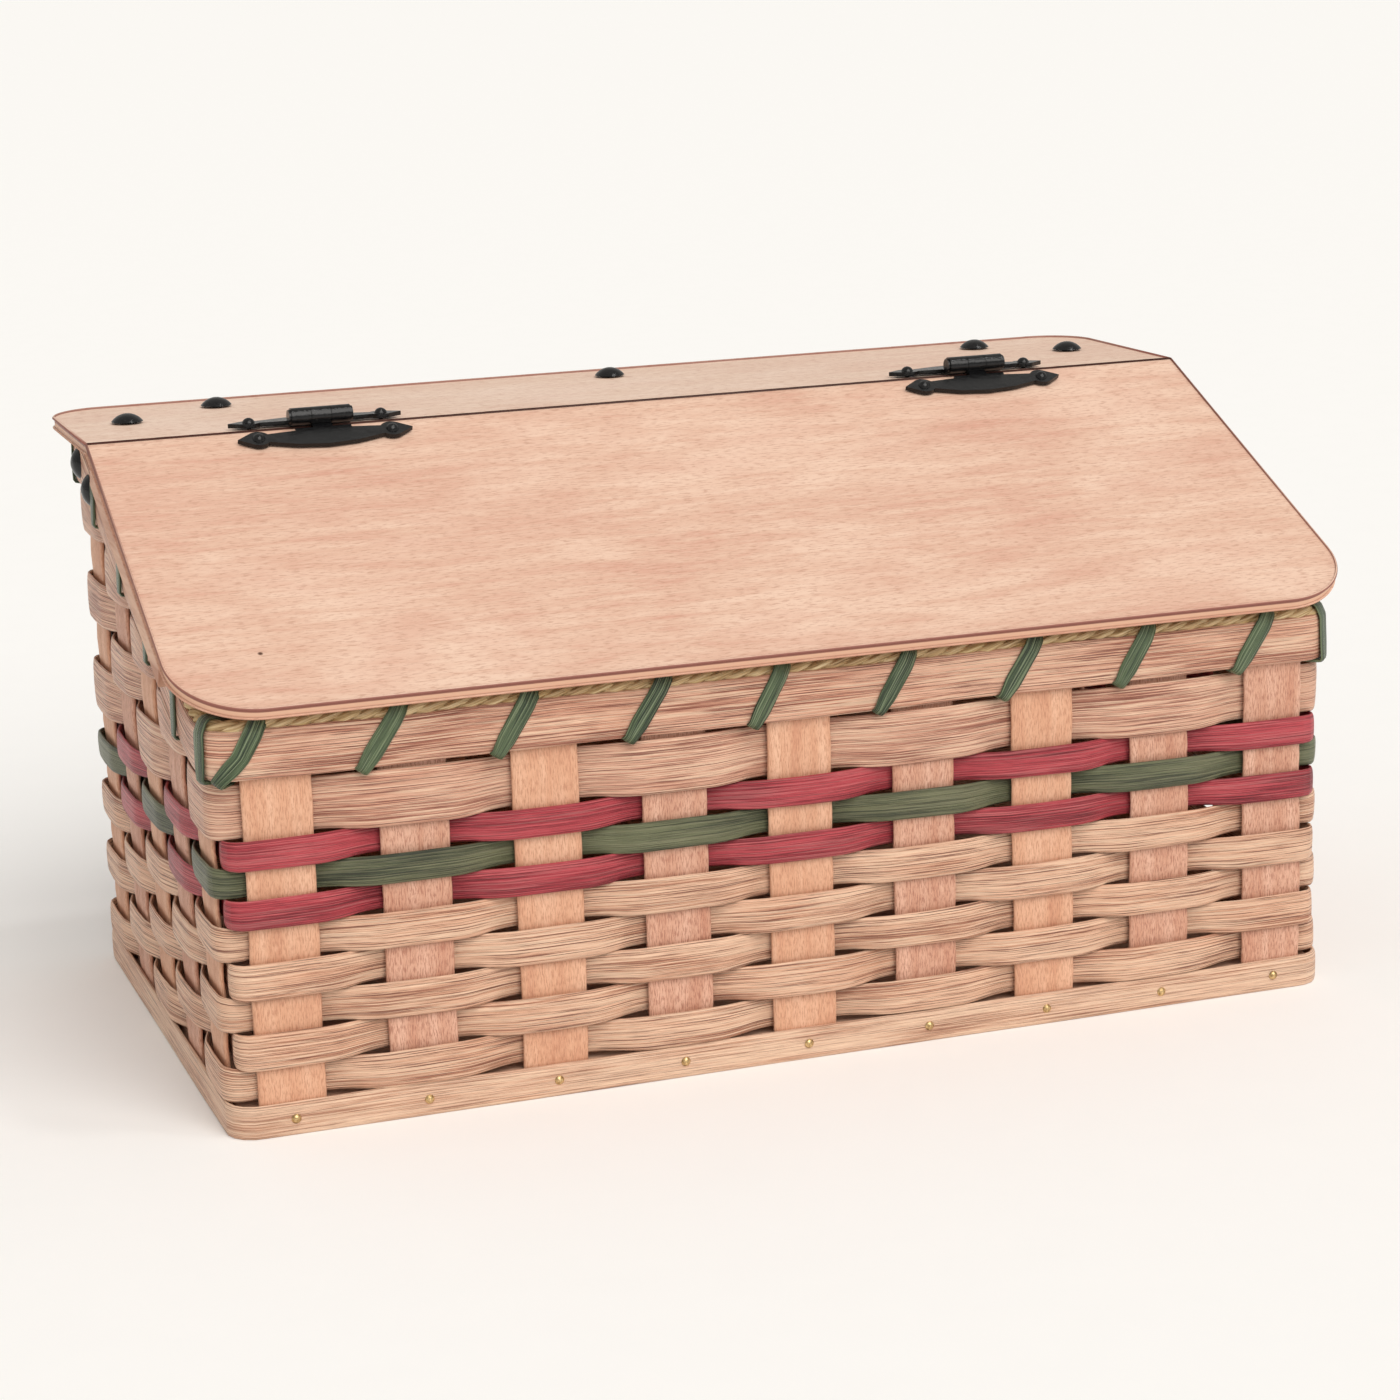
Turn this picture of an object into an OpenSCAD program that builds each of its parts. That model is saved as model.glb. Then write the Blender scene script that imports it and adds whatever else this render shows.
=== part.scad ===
// Woven splint basket with a fixed back plank and a sloping lid on two
// strap hinges. +Z is up, the front faces -Y, X runs along the length, and
// the origin is the centre of the underside. Millimetres.

/* [Body] */
// Length of the wall, between the middles of the end uprights
wall_l = 414; // [340:1:520]
// Depth of the wall, between the middles of the front and back uprights
wall_d = 232; // [190:1:300]
// Corner radius of the wall's middle line
corner_r = 7.5; // [4:0.5:7.5]

/* [Uprights] */
// Uprights along the front, and as many along the back
long_n = 9; // [7:2:11]
// Uprights along each end
end_n = 5; // [3:2:5]
// Width of an upright
upright_w = 24; // [16:0.5:26]
// Thickness of an upright
upright_t = 2; // [1.4:0.1:3]
// From the wall's corner to the middle of the first long-side upright
long_inset = 19.5; // [19.5:0.5:24]
// From the wall's corner to the middle of the first end upright
end_inset = 22; // [20:0.5:26]

/* [Weave] */
// Thickness of a woven strand
strand_t = 1.8; // [1:0.1:2.6]
// Height of a narrow strand
narrow_h = 11.9; // [9:0.1:14]
// Number of narrow rows above the base band
narrow_n = 5; // [3:1:6]
// Height of a dyed strand
dyed_h = 9.7; // [8:0.1:12]
// Number of dyed rows, red and green by turns
dyed_n = 3; // [1:2:3]
// Height of the wide strand under the front rim
wide_h = 18.8; // [14:0.1:22]
// Height of the strands that fill the raised back and ends
upper_h = 16.5; // [13:0.1:18]
// Number of those upper rows
upper_n = 4; // [3:1:4]
// Gap between one row and the next
row_gap = 0.5; // [0.3:0.1:1.5]

/* [Base] */
// Height of the band round the foot
base_band_h = 11.9; // [9:0.1:16]
// Thickness of that band
base_band_t = 2; // [1.4:0.1:3]
// Thickness of the base board
base_board_t = 10; // [8:0.5:11]
// Diameter of a tack's head
tack_head_d = 3.4; // [2.4:0.1:4.4]
// Diameter of a tack's shank
tack_d = 1.2; // [0.8:0.1:1.6]
// Length of a tack's shank
tack_l = 12; // [10:0.5:16]

/* [Rim] */
// Height of the rim bands
rim_h = 17; // [14:0.5:20]
// Thickness of the outer rim band
rim_outer_t = 3.2; // [2:0.1:4]
// Thickness of the inner rim band
rim_inner_t = 3; // [2:0.1:4]
// Height of the twisted filler that lies on the rim bands
filler_h = 3.6; // [3:0.1:5]
// Width of the filler
filler_w = 5.4; // [4:0.1:6]
// Width of the lashing strip
lash_w = 7; // [5:0.5:8]
// Thickness of the lashing strip
lash_t = 1.2; // [0.8:0.1:1.6]
// Lean of the lashing across the long sides
lash_lean = 33; // [0:1:36]
// Where the ends of the rim start to climb, in front of the middle
climb_front = 88; // [60:1:95]
// Where they stop climbing, behind the middle
climb_back = 100; // [80:1:110]

/* [Boards] */
// Thickness of the lid and of the back plank
board_t = 5; // [4:0.1:8]
// How far the boards stand out past the outer rim at the ends
board_over = 8.7; // [4:0.1:12]
// How far the lid stands out past the outer rim at the front
lid_over = 7; // [4:0.1:12]
// Radius of the lid's front corners
lid_r = 30; // [15:1:50]
// Radius of the plank's back corners
plank_r = 21; // [10:1:50]
// From the middle of the basket back to the hinge line
hinge_y = 26.5; // [10:0.5:40]
// Gap between the lid and the plank
board_gap = 0.6; // [0.4:0.1:1.5]
// Width of a batten under the lid
batten_w = 13; // [10:0.5:16]
// Thickness of a batten under the lid
batten_t = 8; // [4:0.5:9]
// Width of the cleats that carry the plank
cleat_w = 19; // [16:0.5:24]
// Height of the back cleat
cleat_h = 18; // [14:0.5:20]
// Depth of the back cleat, front to back
cleat_d = 24; // [18:0.5:28]

/* [Screws] */
// Diameter of a dome head
dome_d = 12; // [8:0.5:14]
// Height of a dome head
dome_h = 3; // [2:0.1:4]
// Diameter of a dome screw's shank
screw_d = 4; // [3:0.1:5]
// Length of a dome screw's shank
screw_l = 18; // [14:0.5:20]
// From the back cleat's outer screws to the middle of the basket, to each side
screw_x = 161; // [100:1:165]
// How far the back cleat's screws stand to the right of even
screw_off = 4.5; // [-6:0.5:6]
// How far forward of the back wall the end cleats' plank screws stand
end_screw_in = 42; // [40:1:56]
// How far outside the middle of its cleat each of those screws stands
end_screw_out = 2.5; // [0:0.5:4]

/* [Hinges] */
// From the middle of the basket to the middle of each hinge
hinge_x = 132.5; // [80:0.5:150]
// Length of a hinge barrel
barrel_l = 22.5; // [18:0.5:32]
// Diameter of a hinge barrel
barrel_d = 6.6; // [6:0.1:9]
// Diameter of the hinge pin
pin_d = 3; // [2:0.1:4]
// Thickness of a leaf
leaf_t = 1.6; // [1:0.1:2]
// Length of a leaf, point to point
leaf_l = 66; // [54:1:80]
// Diameter of the round pad at each end of a leaf
pad_d = 9; // [7:0.5:10]
// How far the leaf's belly reaches from the hinge line
leaf_reach = 15.3; // [13:0.1:18]
// Diameter of a hinge nail's head
nail_head_d = 4.8; // [3:0.1:6]
// Diameter of a hinge nail's shank
nail_d = 1.6; // [1:0.1:2]

/* [Fits] */
// Clearance of pieces that lie against each other
seat = 0.05; // [0.02:0.01:0.1]
// Clearance of a strand over an upright
weave_fit = 0.1; // [0.05:0.01:0.3]
// Radial clearance of shanks and of the hinge pin
bore_fit = 0.05; // [0.03:0.01:0.1]
// Clearance between the shut lid and the lashing it rests on
lid_rest = 0.2; // [0.1:0.1:0.6]

/* [Hidden] */
$fn = 48;
eps = 0.01;
long_pitch = (wall_l - 2*long_inset) / (long_n - 1);
end_pitch = (wall_d - 2*end_inset) / (end_n - 1);

// Every upright in order round the basket: [place, along, outward]
long_steps = [for (i = [0:long_n - 1]) -wall_l/2 + long_inset + i*long_pitch];
end_steps = [for (i = [0:end_n - 1]) -wall_d/2 + end_inset + i*end_pitch];
front_set = [for (x = long_steps) [[x, -wall_d/2], [1, 0], [0, -1]]];
right_set = [for (y = end_steps) [[wall_l/2, y], [0, 1], [1, 0]]];
back_set = [for (x = long_steps) [[-x, wall_d/2], [-1, 0], [0, 1]]];
left_set = [for (y = end_steps) [[-wall_l/2, -y], [0, -1], [-1, 0]]];
sides = [front_set, right_set, back_set, left_set];
side_insets = [long_inset, end_inset, long_inset, end_inset];
corner_at = [[1, -1], [1, 1], [-1, 1], [-1, -1]];
side_first = [0, long_n, long_n + end_n, 2*long_n + end_n];

// Rows from the base band up
row_n = narrow_n + dyed_n + 1 + upper_n;
front_rows = narrow_n + dyed_n + 1;
function row_height(r) =
    r <= narrow_n ? narrow_h
    : r <= narrow_n + dyed_n ? dyed_h
    : r == front_rows ? wide_h
    : upper_h;
function row_bottom(r) = r == 1 ? base_band_h + row_gap : row_bottom(r - 1) + row_height(r - 1) + row_gap;
function row_top(r) = row_bottom(r) + row_height(r);
function row_tint(r) =
    r <= narrow_n ? "burlywood"
    : r > narrow_n + dyed_n ? "tan"
    : (r - narrow_n) % 2 == 1 ? "firebrick"
    : "darkolivegreen";

// Distances out from the middle line of the wall
weave_swing = upright_t/2 + strand_t/2 + weave_fit;
rim_out = upright_t/2 + seat + rim_outer_t;
rim_in = upright_t/2 + seat + rim_inner_t;
least_r = 1;

// Lashing: play round the bundle, where its turns stand from the uprights and the
// gaps' middles, how far the first front turn stands in from its corner, how far round
// the corners from the long sides the corner turns stand, and the right front corner's second
lash_play = 0.1;
lash_off = 1.3;
lash_foot = upright_w/2 + lash_w/2/cos(lash_lean) + lash_off;
lash_forward = 1;
lash_first = 0.9;
lash_round = 68;
lash_second = 40;
lash_reach = max(rim_out, rim_in) + lash_play + lash_t + eps;

// Heights of the rim
lash_slot = lash_t + 2*lash_play + row_gap;
rim_low_front = row_top(front_rows) + lash_slot;
rim_low_back = row_top(row_n) + lash_slot;
rim_climb = (rim_low_back - rim_low_front) / (climb_front + climb_back);
bundle_h = rim_h + seat + filler_h;
lash_top = bundle_h + lash_play + lash_t;
rim_line = [
    [-wall_d, rim_low_front],
    [-climb_front, rim_low_front],
    [climb_back, rim_low_back],
    [wall_d, rim_low_back]
];
function rim_low(y) = rim_low_front + rim_climb*(min(max(y, -climb_front), climb_back) + climb_front);

// Boards
plank_z = rim_low_back + lash_top + seat;
hinge_z = plank_z + board_t;
board_half = wall_l/2 + rim_out + board_over;
plank_back = wall_d/2 + rim_out;
lid_front = -(wall_d/2 + rim_out + lid_over);
rest_y = -(wall_d/2 + rim_out + lash_play + lash_t);
rest_drop = hinge_z - (rim_low_front + lash_top + lid_rest);
rest_run = hinge_y - rest_y;
lid_slope = acos(board_t / norm([rest_drop, rest_run])) - atan2(rest_run, rest_drop);
lid_l = (hinge_y - lid_front) / cos(lid_slope);
cleat_out_x = wall_l/2 - rim_in - seat;
cleat_back_y = wall_d/2 - rim_in - seat;
cleat_front_y = hinge_y + 6;
cleat_rise = 2;
batten_end = 6;
batten_back = 8;
batten_side = 0.5;

// Fasteners
tack_head_h = tack_head_d*0.3;
nail_head_h = nail_head_d*0.36;
nail_l = leaf_t + board_t - 1;

// Hinges: the barrel clears the boards by its lift; a leaf's point stands past the middle
// of its pad, its belly past the line of the pads, and its neck starts past the barrel
barrel_r = barrel_d/2;
barrel_lift = 0.35;
axis_h = barrel_r + barrel_lift;
axis_z = hinge_z + axis_h;
knuckle_gap = 0.2;
knuckle_l = (barrel_l - 2*knuckle_gap) / 3;
pin_head_d = pin_d + 2.4;
pin_head_l = 0.8;
leaf_lift = seat;
leaf_point = 7.8;
leaf_belly = 6.8;
pad_x = leaf_l/2 - leaf_point;
pad_y = leaf_reach - leaf_belly;
neck_y = 4.4;

// Dome screws of the end walls: through the rearmost upright, and just in front of it
rear_upright_y = wall_d/2 - end_inset;
side_screw_y = [rear_upright_y + upright_w/4, rear_upright_y - upright_w/2 - screw_d/2 - row_gap];

function row_name(r) = str("weaver_row_", r);
function names(stem, n) = [for (i = [1:n]) str(stem, i)];

// ---- shared shapes ----

// Rectangle with round corners, made of squares and circles
module round_rect(l, d, r) {
    square([l - 2*r, d], center = true);
    square([l, d - 2*r], center = true);
    for (sx = [-1, 1], sy = [-1, 1])
        translate([sx*(l/2 - r), sy*(d/2 - r)]) circle(r);
}

// Upright ring that follows the wall, from a distance inside its middle line to one outside
module wall_ring(inside, outside, h) {
    linear_extrude(h) difference() {
        round_rect(wall_l + 2*outside, wall_d + 2*outside, corner_r + outside);
        round_rect(wall_l - 2*inside, wall_d - 2*inside, max(corner_r - inside, least_r));
    }
}

// Everything between a lower outline and the rim's line raised by a height, seen from the side
module rim_profile(lower, high) {
    top = [for (i = [3:-1:0]) rim_line[i] + [0, high]];
    rotate([90, 0, 90])
        linear_extrude(2*wall_l, center = true)
            polygon(concat(lower, top));
}

// Everything below the rim's line raised by a height
module under_rim(high) {
    rim_profile([[-wall_d, 0], [wall_d, 0]], high);
}

// Strip of rim: a wall ring cut to the rim's side view
module rim_strip(inside, outside, low, high) {
    intersection() {
        wall_ring(inside, outside, hinge_z + 50);
        rim_profile([for (p = rim_line) p + [0, low]], high);
    }
}

// Dome with its flat face at the origin, rising along +Z
module dome(d, h) {
    ball_r = (d*d/4 + h*h) / (2*h);
    intersection() {
        translate([0, 0, h - ball_r]) sphere(ball_r);
        cylinder(h = h + 1, r = d/2 + 1);
    }
}

// Fastener with a dome head above the origin and its shank below
module dome_pin(head_d, head_h, shank_d, shank_l) {
    dome(head_d, head_h);
    translate([0, 0, -shank_l]) cylinder(h = shank_l + eps, d = shank_d);
}

// Turns +Z to point outward at an upright, at a height on the wall
module facing(frame, z, out) {
    translate([frame[0][0] + frame[2][0]*out, frame[0][1] + frame[2][1]*out, z])
        rotate([0, 0, atan2(frame[2][1], frame[2][0])])
            rotate([0, 90, 0]) children();
}

// Puts the lid's own frame in place: X along the hinge, +Y up the slope, +Z out of the top
module on_lid() {
    translate([0, hinge_y, hinge_z]) rotate([lid_slope, 0, 0]) children();
}

// ---- base ----

// A tack at each upright of the long sides
module each_tack(out) {
    for (side = [front_set, back_set], frame = side)
        facing(frame, base_band_h/2, out) children();
}

module tack_holes() {
    each_tack(upright_t/2 + seat + base_band_t + 1)
        translate([0, 0, -tack_l - 1]) cylinder(h = tack_l + 2, d = tack_d + 2*bore_fit);
}

module base_board() {
    inset = upright_t + 2*seat;
    color("wheat") difference() {
        linear_extrude(base_board_t) round_rect(wall_l - inset, wall_d - inset, corner_r - inset/2);
        tack_holes();
    }
}

module base_band() {
    color("burlywood") difference() {
        wall_ring(-(upright_t/2 + seat), upright_t/2 + seat + base_band_t, base_band_h);
        tack_holes();
    }
}

module base_tacks() {
    color("goldenrod")
        each_tack(upright_t/2 + seat + base_band_t + seat)
            dome_pin(tack_head_d, tack_head_h, tack_d, tack_l - seat);
}

// ---- uprights ----

module upright(frame) {
    along = frame[1];
    size = [
        abs(along[0])*upright_w + abs(along[1])*upright_t,
        abs(along[1])*upright_w + abs(along[0])*upright_t
    ];
    color("peru") difference() {
        intersection() {
            translate([frame[0][0], frame[0][1], 0])
                linear_extrude(hinge_z) square(size, center = true);
            under_rim(rim_h - row_gap);
        }
        tack_holes();
        side_screw_holes();
    }
}

// ---- weave ----

// Sideways place of a row at one upright: +1 outside it, -1 inside it
function over(r, i) = (i + r) % 2 == 0 ? 1 : -1;

// One face of a row as a closed outline, seen from above; face is +1 or -1
function row_face(r, face) = [
    for (s = [0:3], i = [0:len(sides[s]) - 1])
        let (
            frame = sides[s][i],
            turn = over(r, side_first[s] + i) * weave_swing,
            out = frame[2] * (turn + face*strand_t/2),
            step = frame[1] * upright_w/2
        )
        each concat(
            [frame[0] - step + out, frame[0] + step + out],
            i == len(sides[s]) - 1 ? corner_points(s, turn, face*strand_t/2) : []
        )
];

// The round corner after a side, where the strand swings from one side of the wall to the other
function corner_points(s, turn, half) =
    let (
        before = side_insets[s] - upright_w/2 - corner_r,
        arc = corner_r * PI/2,
        after = side_insets[(s + 1) % 4] - upright_w/2 - corner_r,
        centre = [corner_at[s][0]*(wall_l/2 - corner_r), corner_at[s][1]*(wall_d/2 - corner_r)]
    )
    [
        for (k = [0:6])
            let (
                done = (before + arc*k/6) / (before + arc + after),
                reach = corner_r + turn*(1 - 2*done) + half,
                a = -90 + 90*s + 15*k
            )
            if (done > 0 && done < 1) centre + reach*[cos(a), sin(a)]
    ];

module weaver_row(r) {
    color(row_tint(r)) intersection() {
        translate([0, 0, row_bottom(r)]) linear_extrude(row_height(r)) difference() {
            polygon(row_face(r, 1));
            polygon(row_face(r, -1));
        }
        under_rim(-lash_slot);
    }
}

// ---- rim ----

module rim_outer() {
    color("tan") difference() {
        rim_strip(-(upright_t/2 + seat), rim_out, 0, rim_h);
        side_screw_holes();
    }
}

module rim_inner() {
    color("tan") difference() {
        rim_strip(rim_in, -(upright_t/2 + seat), 0, rim_h);
        side_screw_holes();
    }
}

module rim_filler() {
    color("khaki") rim_strip(filler_w/2, filler_w/2, rim_h + seat, bundle_h);
}

// Slab that cuts one turn of lashing out of the sleeve: upright, across the wall
module lash_slab(w, reach) {
    tall = 4*bundle_h;
    translate([-w/2, -reach, -tall/2]) cube([w, 2*reach, tall]);
}

// Every turn of lashing: leaning in the long sides' gaps, upright at the ends and the corners
module lash_slabs(w) {
    for (x = [for (i = [0:long_n - 1]) long_steps[i] - lash_foot + (i == 0 ? lash_first : 0)])
        translate([x, -wall_d/2, rim_low_front]) rotate([0, lash_lean, 0]) lash_slab(w, lash_reach);
    for (x = [for (i = [0:long_n - 2]) long_steps[i] + lash_foot])
        translate([x, wall_d/2, rim_low_back]) rotate([0, -lash_lean, 0]) lash_slab(w, lash_reach);
    for (y = [for (i = [1:end_n - 1]) end_steps[i] - end_pitch/2 - lash_forward], side = [-1, 1])
        translate([side*wall_l/2, y, rim_low(y)]) rotate([0, 0, 90]) lash_slab(w, lash_reach);
    for (at = corner_at)
        corner_slab(at, lash_round, w);
    corner_slab(corner_at[0], lash_second, w);
}

// One turn at a corner, so many degrees round from the long side
module corner_slab(at, angle, w) {
    translate([at[0]*(wall_l/2 - corner_r), at[1]*(wall_d/2 - corner_r), rim_low(at[1]*wall_d)])
        rotate([0, 0, -angle*at[0]*at[1]])
            translate([0, at[1]*corner_r, 0]) lash_slab(w, 2*lash_reach);
}

module rim_lashing() {
    near = lash_play;
    far = lash_play + lash_t;
    color("darkgreen") intersection() {
        difference() {
            rim_strip(rim_in + far, rim_out + far, -far, bundle_h + far);
            rim_strip(rim_in + near, rim_out + near, -near, bundle_h + near);
        }
        lash_slabs(lash_w);
    }
}

// Room for the lashing in the pieces that lie against the inner rim
module lash_room() {
    intersection() {
        rim_strip(rim_in + 2*lash_t, rim_out, -2*lash_t, bundle_h + 2*lash_t);
        lash_slabs(lash_w + 1);
    }
}

// ---- plank and cleats ----

module back_plank() {
    front = hinge_y + board_gap/2;
    depth = plank_back - front;
    color("moccasin") difference() {
        translate([0, 0, plank_z]) linear_extrude(board_t) {
            translate([-board_half, front]) square([2*board_half, depth - plank_r]);
            translate([-board_half + plank_r, front]) square([2*(board_half - plank_r), depth]);
            for (side = [-1, 1])
                translate([side*(board_half - plank_r), plank_back - plank_r]) circle(plank_r, $fn = 96);
        }
        plank_screw_holes();
        each_plank_nail() nail_hole();
    }
}

module back_cleat() {
    reach = cleat_out_x - cleat_w - seat;
    color("wheat") difference() {
        translate([-reach, cleat_back_y - cleat_d, plank_z - cleat_h - seat])
            cube([2*reach, cleat_d, cleat_h]);
        plank_screw_holes();
        lash_room();
    }
}

// Wedge inside an end wall: level under the plank, sloping with the rim below
module end_cleat(side) {
    back = cleat_back_y;
    line = [
        [cleat_front_y, rim_low(cleat_front_y) + cleat_rise],
        [climb_back, rim_low(climb_back) + cleat_rise],
        [back, rim_low(back) + cleat_rise],
        [back, plank_z - seat],
        [cleat_front_y, plank_z - seat]
    ];
    color("wheat") difference() {
        intersection() {
            translate([side > 0 ? cleat_out_x - cleat_w : -cleat_out_x, 0, 0])
                rotate([90, 0, 90]) linear_extrude(cleat_w) polygon(line);
            linear_extrude(hinge_z)
                round_rect(2*cleat_out_x, 2*cleat_back_y, max(corner_r - rim_in - seat, least_r));
        }
        plank_screw_holes();
        side_screw_holes();
        lash_room();
    }
}

// ---- dome screws ----

module each_plank_screw() {
    end_x = cleat_out_x - cleat_w/2 + end_screw_out;
    for (x = [screw_off - screw_x, screw_off, screw_off + screw_x])
        translate([x, cleat_back_y - cleat_d/2, hinge_z + seat]) children();
    for (side = [-1, 1])
        translate([side*end_x, wall_d/2 - end_screw_in, hinge_z + seat]) children();
}

module each_side_screw() {
    for (side = [-1, 1], y = side_screw_y)
        translate([side*(wall_l/2 + rim_out + seat), y, rim_low(y) + rim_h/2])
            rotate([0, side*90, 0]) children();
}

module screw_hole() {
    translate([0, 0, -screw_l - 1]) cylinder(h = screw_l + 2, d = screw_d + 2*bore_fit);
}

module plank_screw_holes() {
    each_plank_screw() screw_hole();
}

module side_screw_holes() {
    each_side_screw() screw_hole();
}

module dome_screws() {
    color("darkslategray") {
        each_plank_screw() dome_pin(dome_d, dome_h, screw_d, screw_l);
        each_side_screw() dome_pin(dome_d, dome_h, screw_d, screw_l);
    }
}

// ---- lid ----

module lid_board() {
    color("moccasin") difference() {
        intersection() {
            on_lid() translate([0, 0, -board_t]) linear_extrude(board_t) {
                translate([-board_half, lid_r - lid_l]) square([2*board_half, lid_l]);
                translate([-board_half + lid_r, -lid_l]) square([2*(board_half - lid_r), lid_l]);
                for (side = [-1, 1])
                    translate([side*(board_half - lid_r), lid_r - lid_l]) circle(lid_r, $fn = 96);
            }
            translate([-wall_l, hinge_y - board_gap/2 - 2*wall_d, -wall_d])
                cube([2*wall_l, 2*wall_d, 3*wall_d]);
        }
        each_lid_nail() nail_hole();
    }
}

module batten(side) {
    from = lid_r - lid_l + batten_end;
    x = side > 0 ? board_half - batten_w - batten_side : -board_half + batten_side;
    color("wheat") on_lid()
        translate([x, from, -board_t - batten_t]) cube([batten_w, -batten_back - from, batten_t]);
}

// ---- hinges ----

// Half of a leaf's outline, from the belly to the point; v runs away from the hinge line
module half_strap() {
    belly = leaf_reach;
    polygon([
        [0, belly],
        [pad_x*0.45, belly - 1.1],
        [pad_x, pad_y + 1.9],
        [pad_x, pad_y - 2.1],
        [pad_x*0.42, neck_y + 0.8],
        [pad_x*0.42, neck_y - 0.6],
        [0, neck_y - 0.6]
    ]);
    translate([pad_x, pad_y]) circle(d = pad_d);
    tip = leaf_l/2;
    lean = acos(pad_d/2 / (tip - pad_x));
    polygon([
        [pad_x + pad_d/2*cos(lean), pad_y + pad_d/2*sin(lean)],
        [tip, pad_y],
        [pad_x + pad_d/2*cos(lean), pad_y - pad_d/2*sin(lean)],
        [pad_x, pad_y]
    ]);
}

// Flat of a leaf on its board, with its nail holes
module strap() {
    difference() {
        translate([0, 0, leaf_lift]) linear_extrude(leaf_t) {
            half_strap();
            mirror([1, 0]) half_strap();
        }
        for (side = [-1, 1])
            translate([side*pad_x, pad_y, -1]) cylinder(h = 2*leaf_t + 2, d = nail_d + 2*bore_fit);
    }
}

// Knuckle from one x to another, its axis at the given place in the leaf's own frame
module knuckle(from, to, axis_y, axis_up) {
    translate([from, axis_y, axis_up]) rotate([0, 90, 0]) cylinder(h = to - from, r = barrel_r);
    translate([from, axis_y, leaf_lift]) cube([to - from, neck_y + 1 - axis_y, leaf_t]);
}

module pin_bore(axis_y, axis_up) {
    translate([-barrel_l, axis_y, axis_up])
        rotate([0, 90, 0]) cylinder(h = 2*barrel_l, d = pin_d + 2*bore_fit);
}

module plank_leaf(side) {
    inner = knuckle_l/2 + knuckle_gap;
    color("black") translate([side*hinge_x, hinge_y, hinge_z]) difference() {
        union() {
            strap();
            knuckle(inner, barrel_l/2, 0, axis_h);
            knuckle(-barrel_l/2, -inner, 0, axis_h);
        }
        pin_bore(0, axis_h);
    }
}

// The lid's leaf is drawn with v down the slope, so it is turned half round
module lid_leaf(side) {
    axis_y = -axis_h*sin(lid_slope);
    axis_up = axis_h*cos(lid_slope);
    color("black") on_lid() translate([side*hinge_x, 0, 0]) rotate([0, 0, 180]) difference() {
        union() {
            strap();
            knuckle(-knuckle_l/2, knuckle_l/2, axis_y, axis_up);
        }
        pin_bore(axis_y, axis_up);
    }
}

module hinge_pins() {
    end = barrel_l/2 + seat;
    color("dimgray") for (side = [-1, 1])
        translate([side*hinge_x, hinge_y, axis_z]) rotate([0, 90, 0]) {
            cylinder(h = 2*end + eps, d = pin_d, center = true);
            for (tip = [end, -end - pin_head_l])
                translate([0, 0, tip]) cylinder(h = pin_head_l, d = pin_head_d);
        }
}

module each_plank_nail() {
    for (side = [-1, 1], end = [-1, 1])
        translate([side*hinge_x + end*pad_x, hinge_y + pad_y, hinge_z + leaf_lift + leaf_t + seat])
            children();
}

module each_lid_nail() {
    on_lid() for (side = [-1, 1], end = [-1, 1])
        translate([side*hinge_x + end*pad_x, -pad_y, leaf_lift + leaf_t + seat]) children();
}

module nail_hole() {
    translate([0, 0, -nail_l - seat]) cylinder(h = nail_l + 1, d = nail_d + 2*bore_fit);
}

module nail() {
    dome_pin(nail_head_d, nail_head_h, nail_d, nail_l);
}

module plank_leaf_nails() {
    color("black") each_plank_nail() nail();
}

module lid_leaf_nails() {
    color("black") each_lid_nail() nail();
}

// ---- nodes ----

base_board();
base_band();
base_tacks();
for (i = [1:long_n]) upright(front_set[i - 1]);
for (i = [1:end_n]) upright(left_set[i - 1]);
for (i = [1:end_n]) upright(right_set[i - 1]);
for (frame = back_set) upright(frame);  // back_uprights
for (r = [1:row_n]) weaver_row(r);
rim_outer();
rim_inner();
rim_filler();
rim_lashing();
back_plank();
back_cleat();
end_cleat(-1);  // left_cleat
end_cleat(1);  // right_cleat
dome_screws();
plank_leaf(-1);  // left_plank_leaf
plank_leaf(1);  // right_plank_leaf
hinge_pins();
plank_leaf_nails();
lid_board();
batten(-1);  // left_batten
batten(1);  // right_batten
lid_leaf(-1);  // left_lid_leaf
lid_leaf(1);  // right_lid_leaf
lid_leaf_nails();
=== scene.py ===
"""The finished look of a woven splint basket with a fixed back plank and a sloping, hinged lid."""

import logging
import math
from dataclasses import dataclass, field
from enum import Enum
from typing import Iterable, Optional, Sequence, Tuple

import bpy
import numpy as np
from bpy.types import Material, NodeSocket, Object
from mathutils import Matrix, Vector


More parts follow.
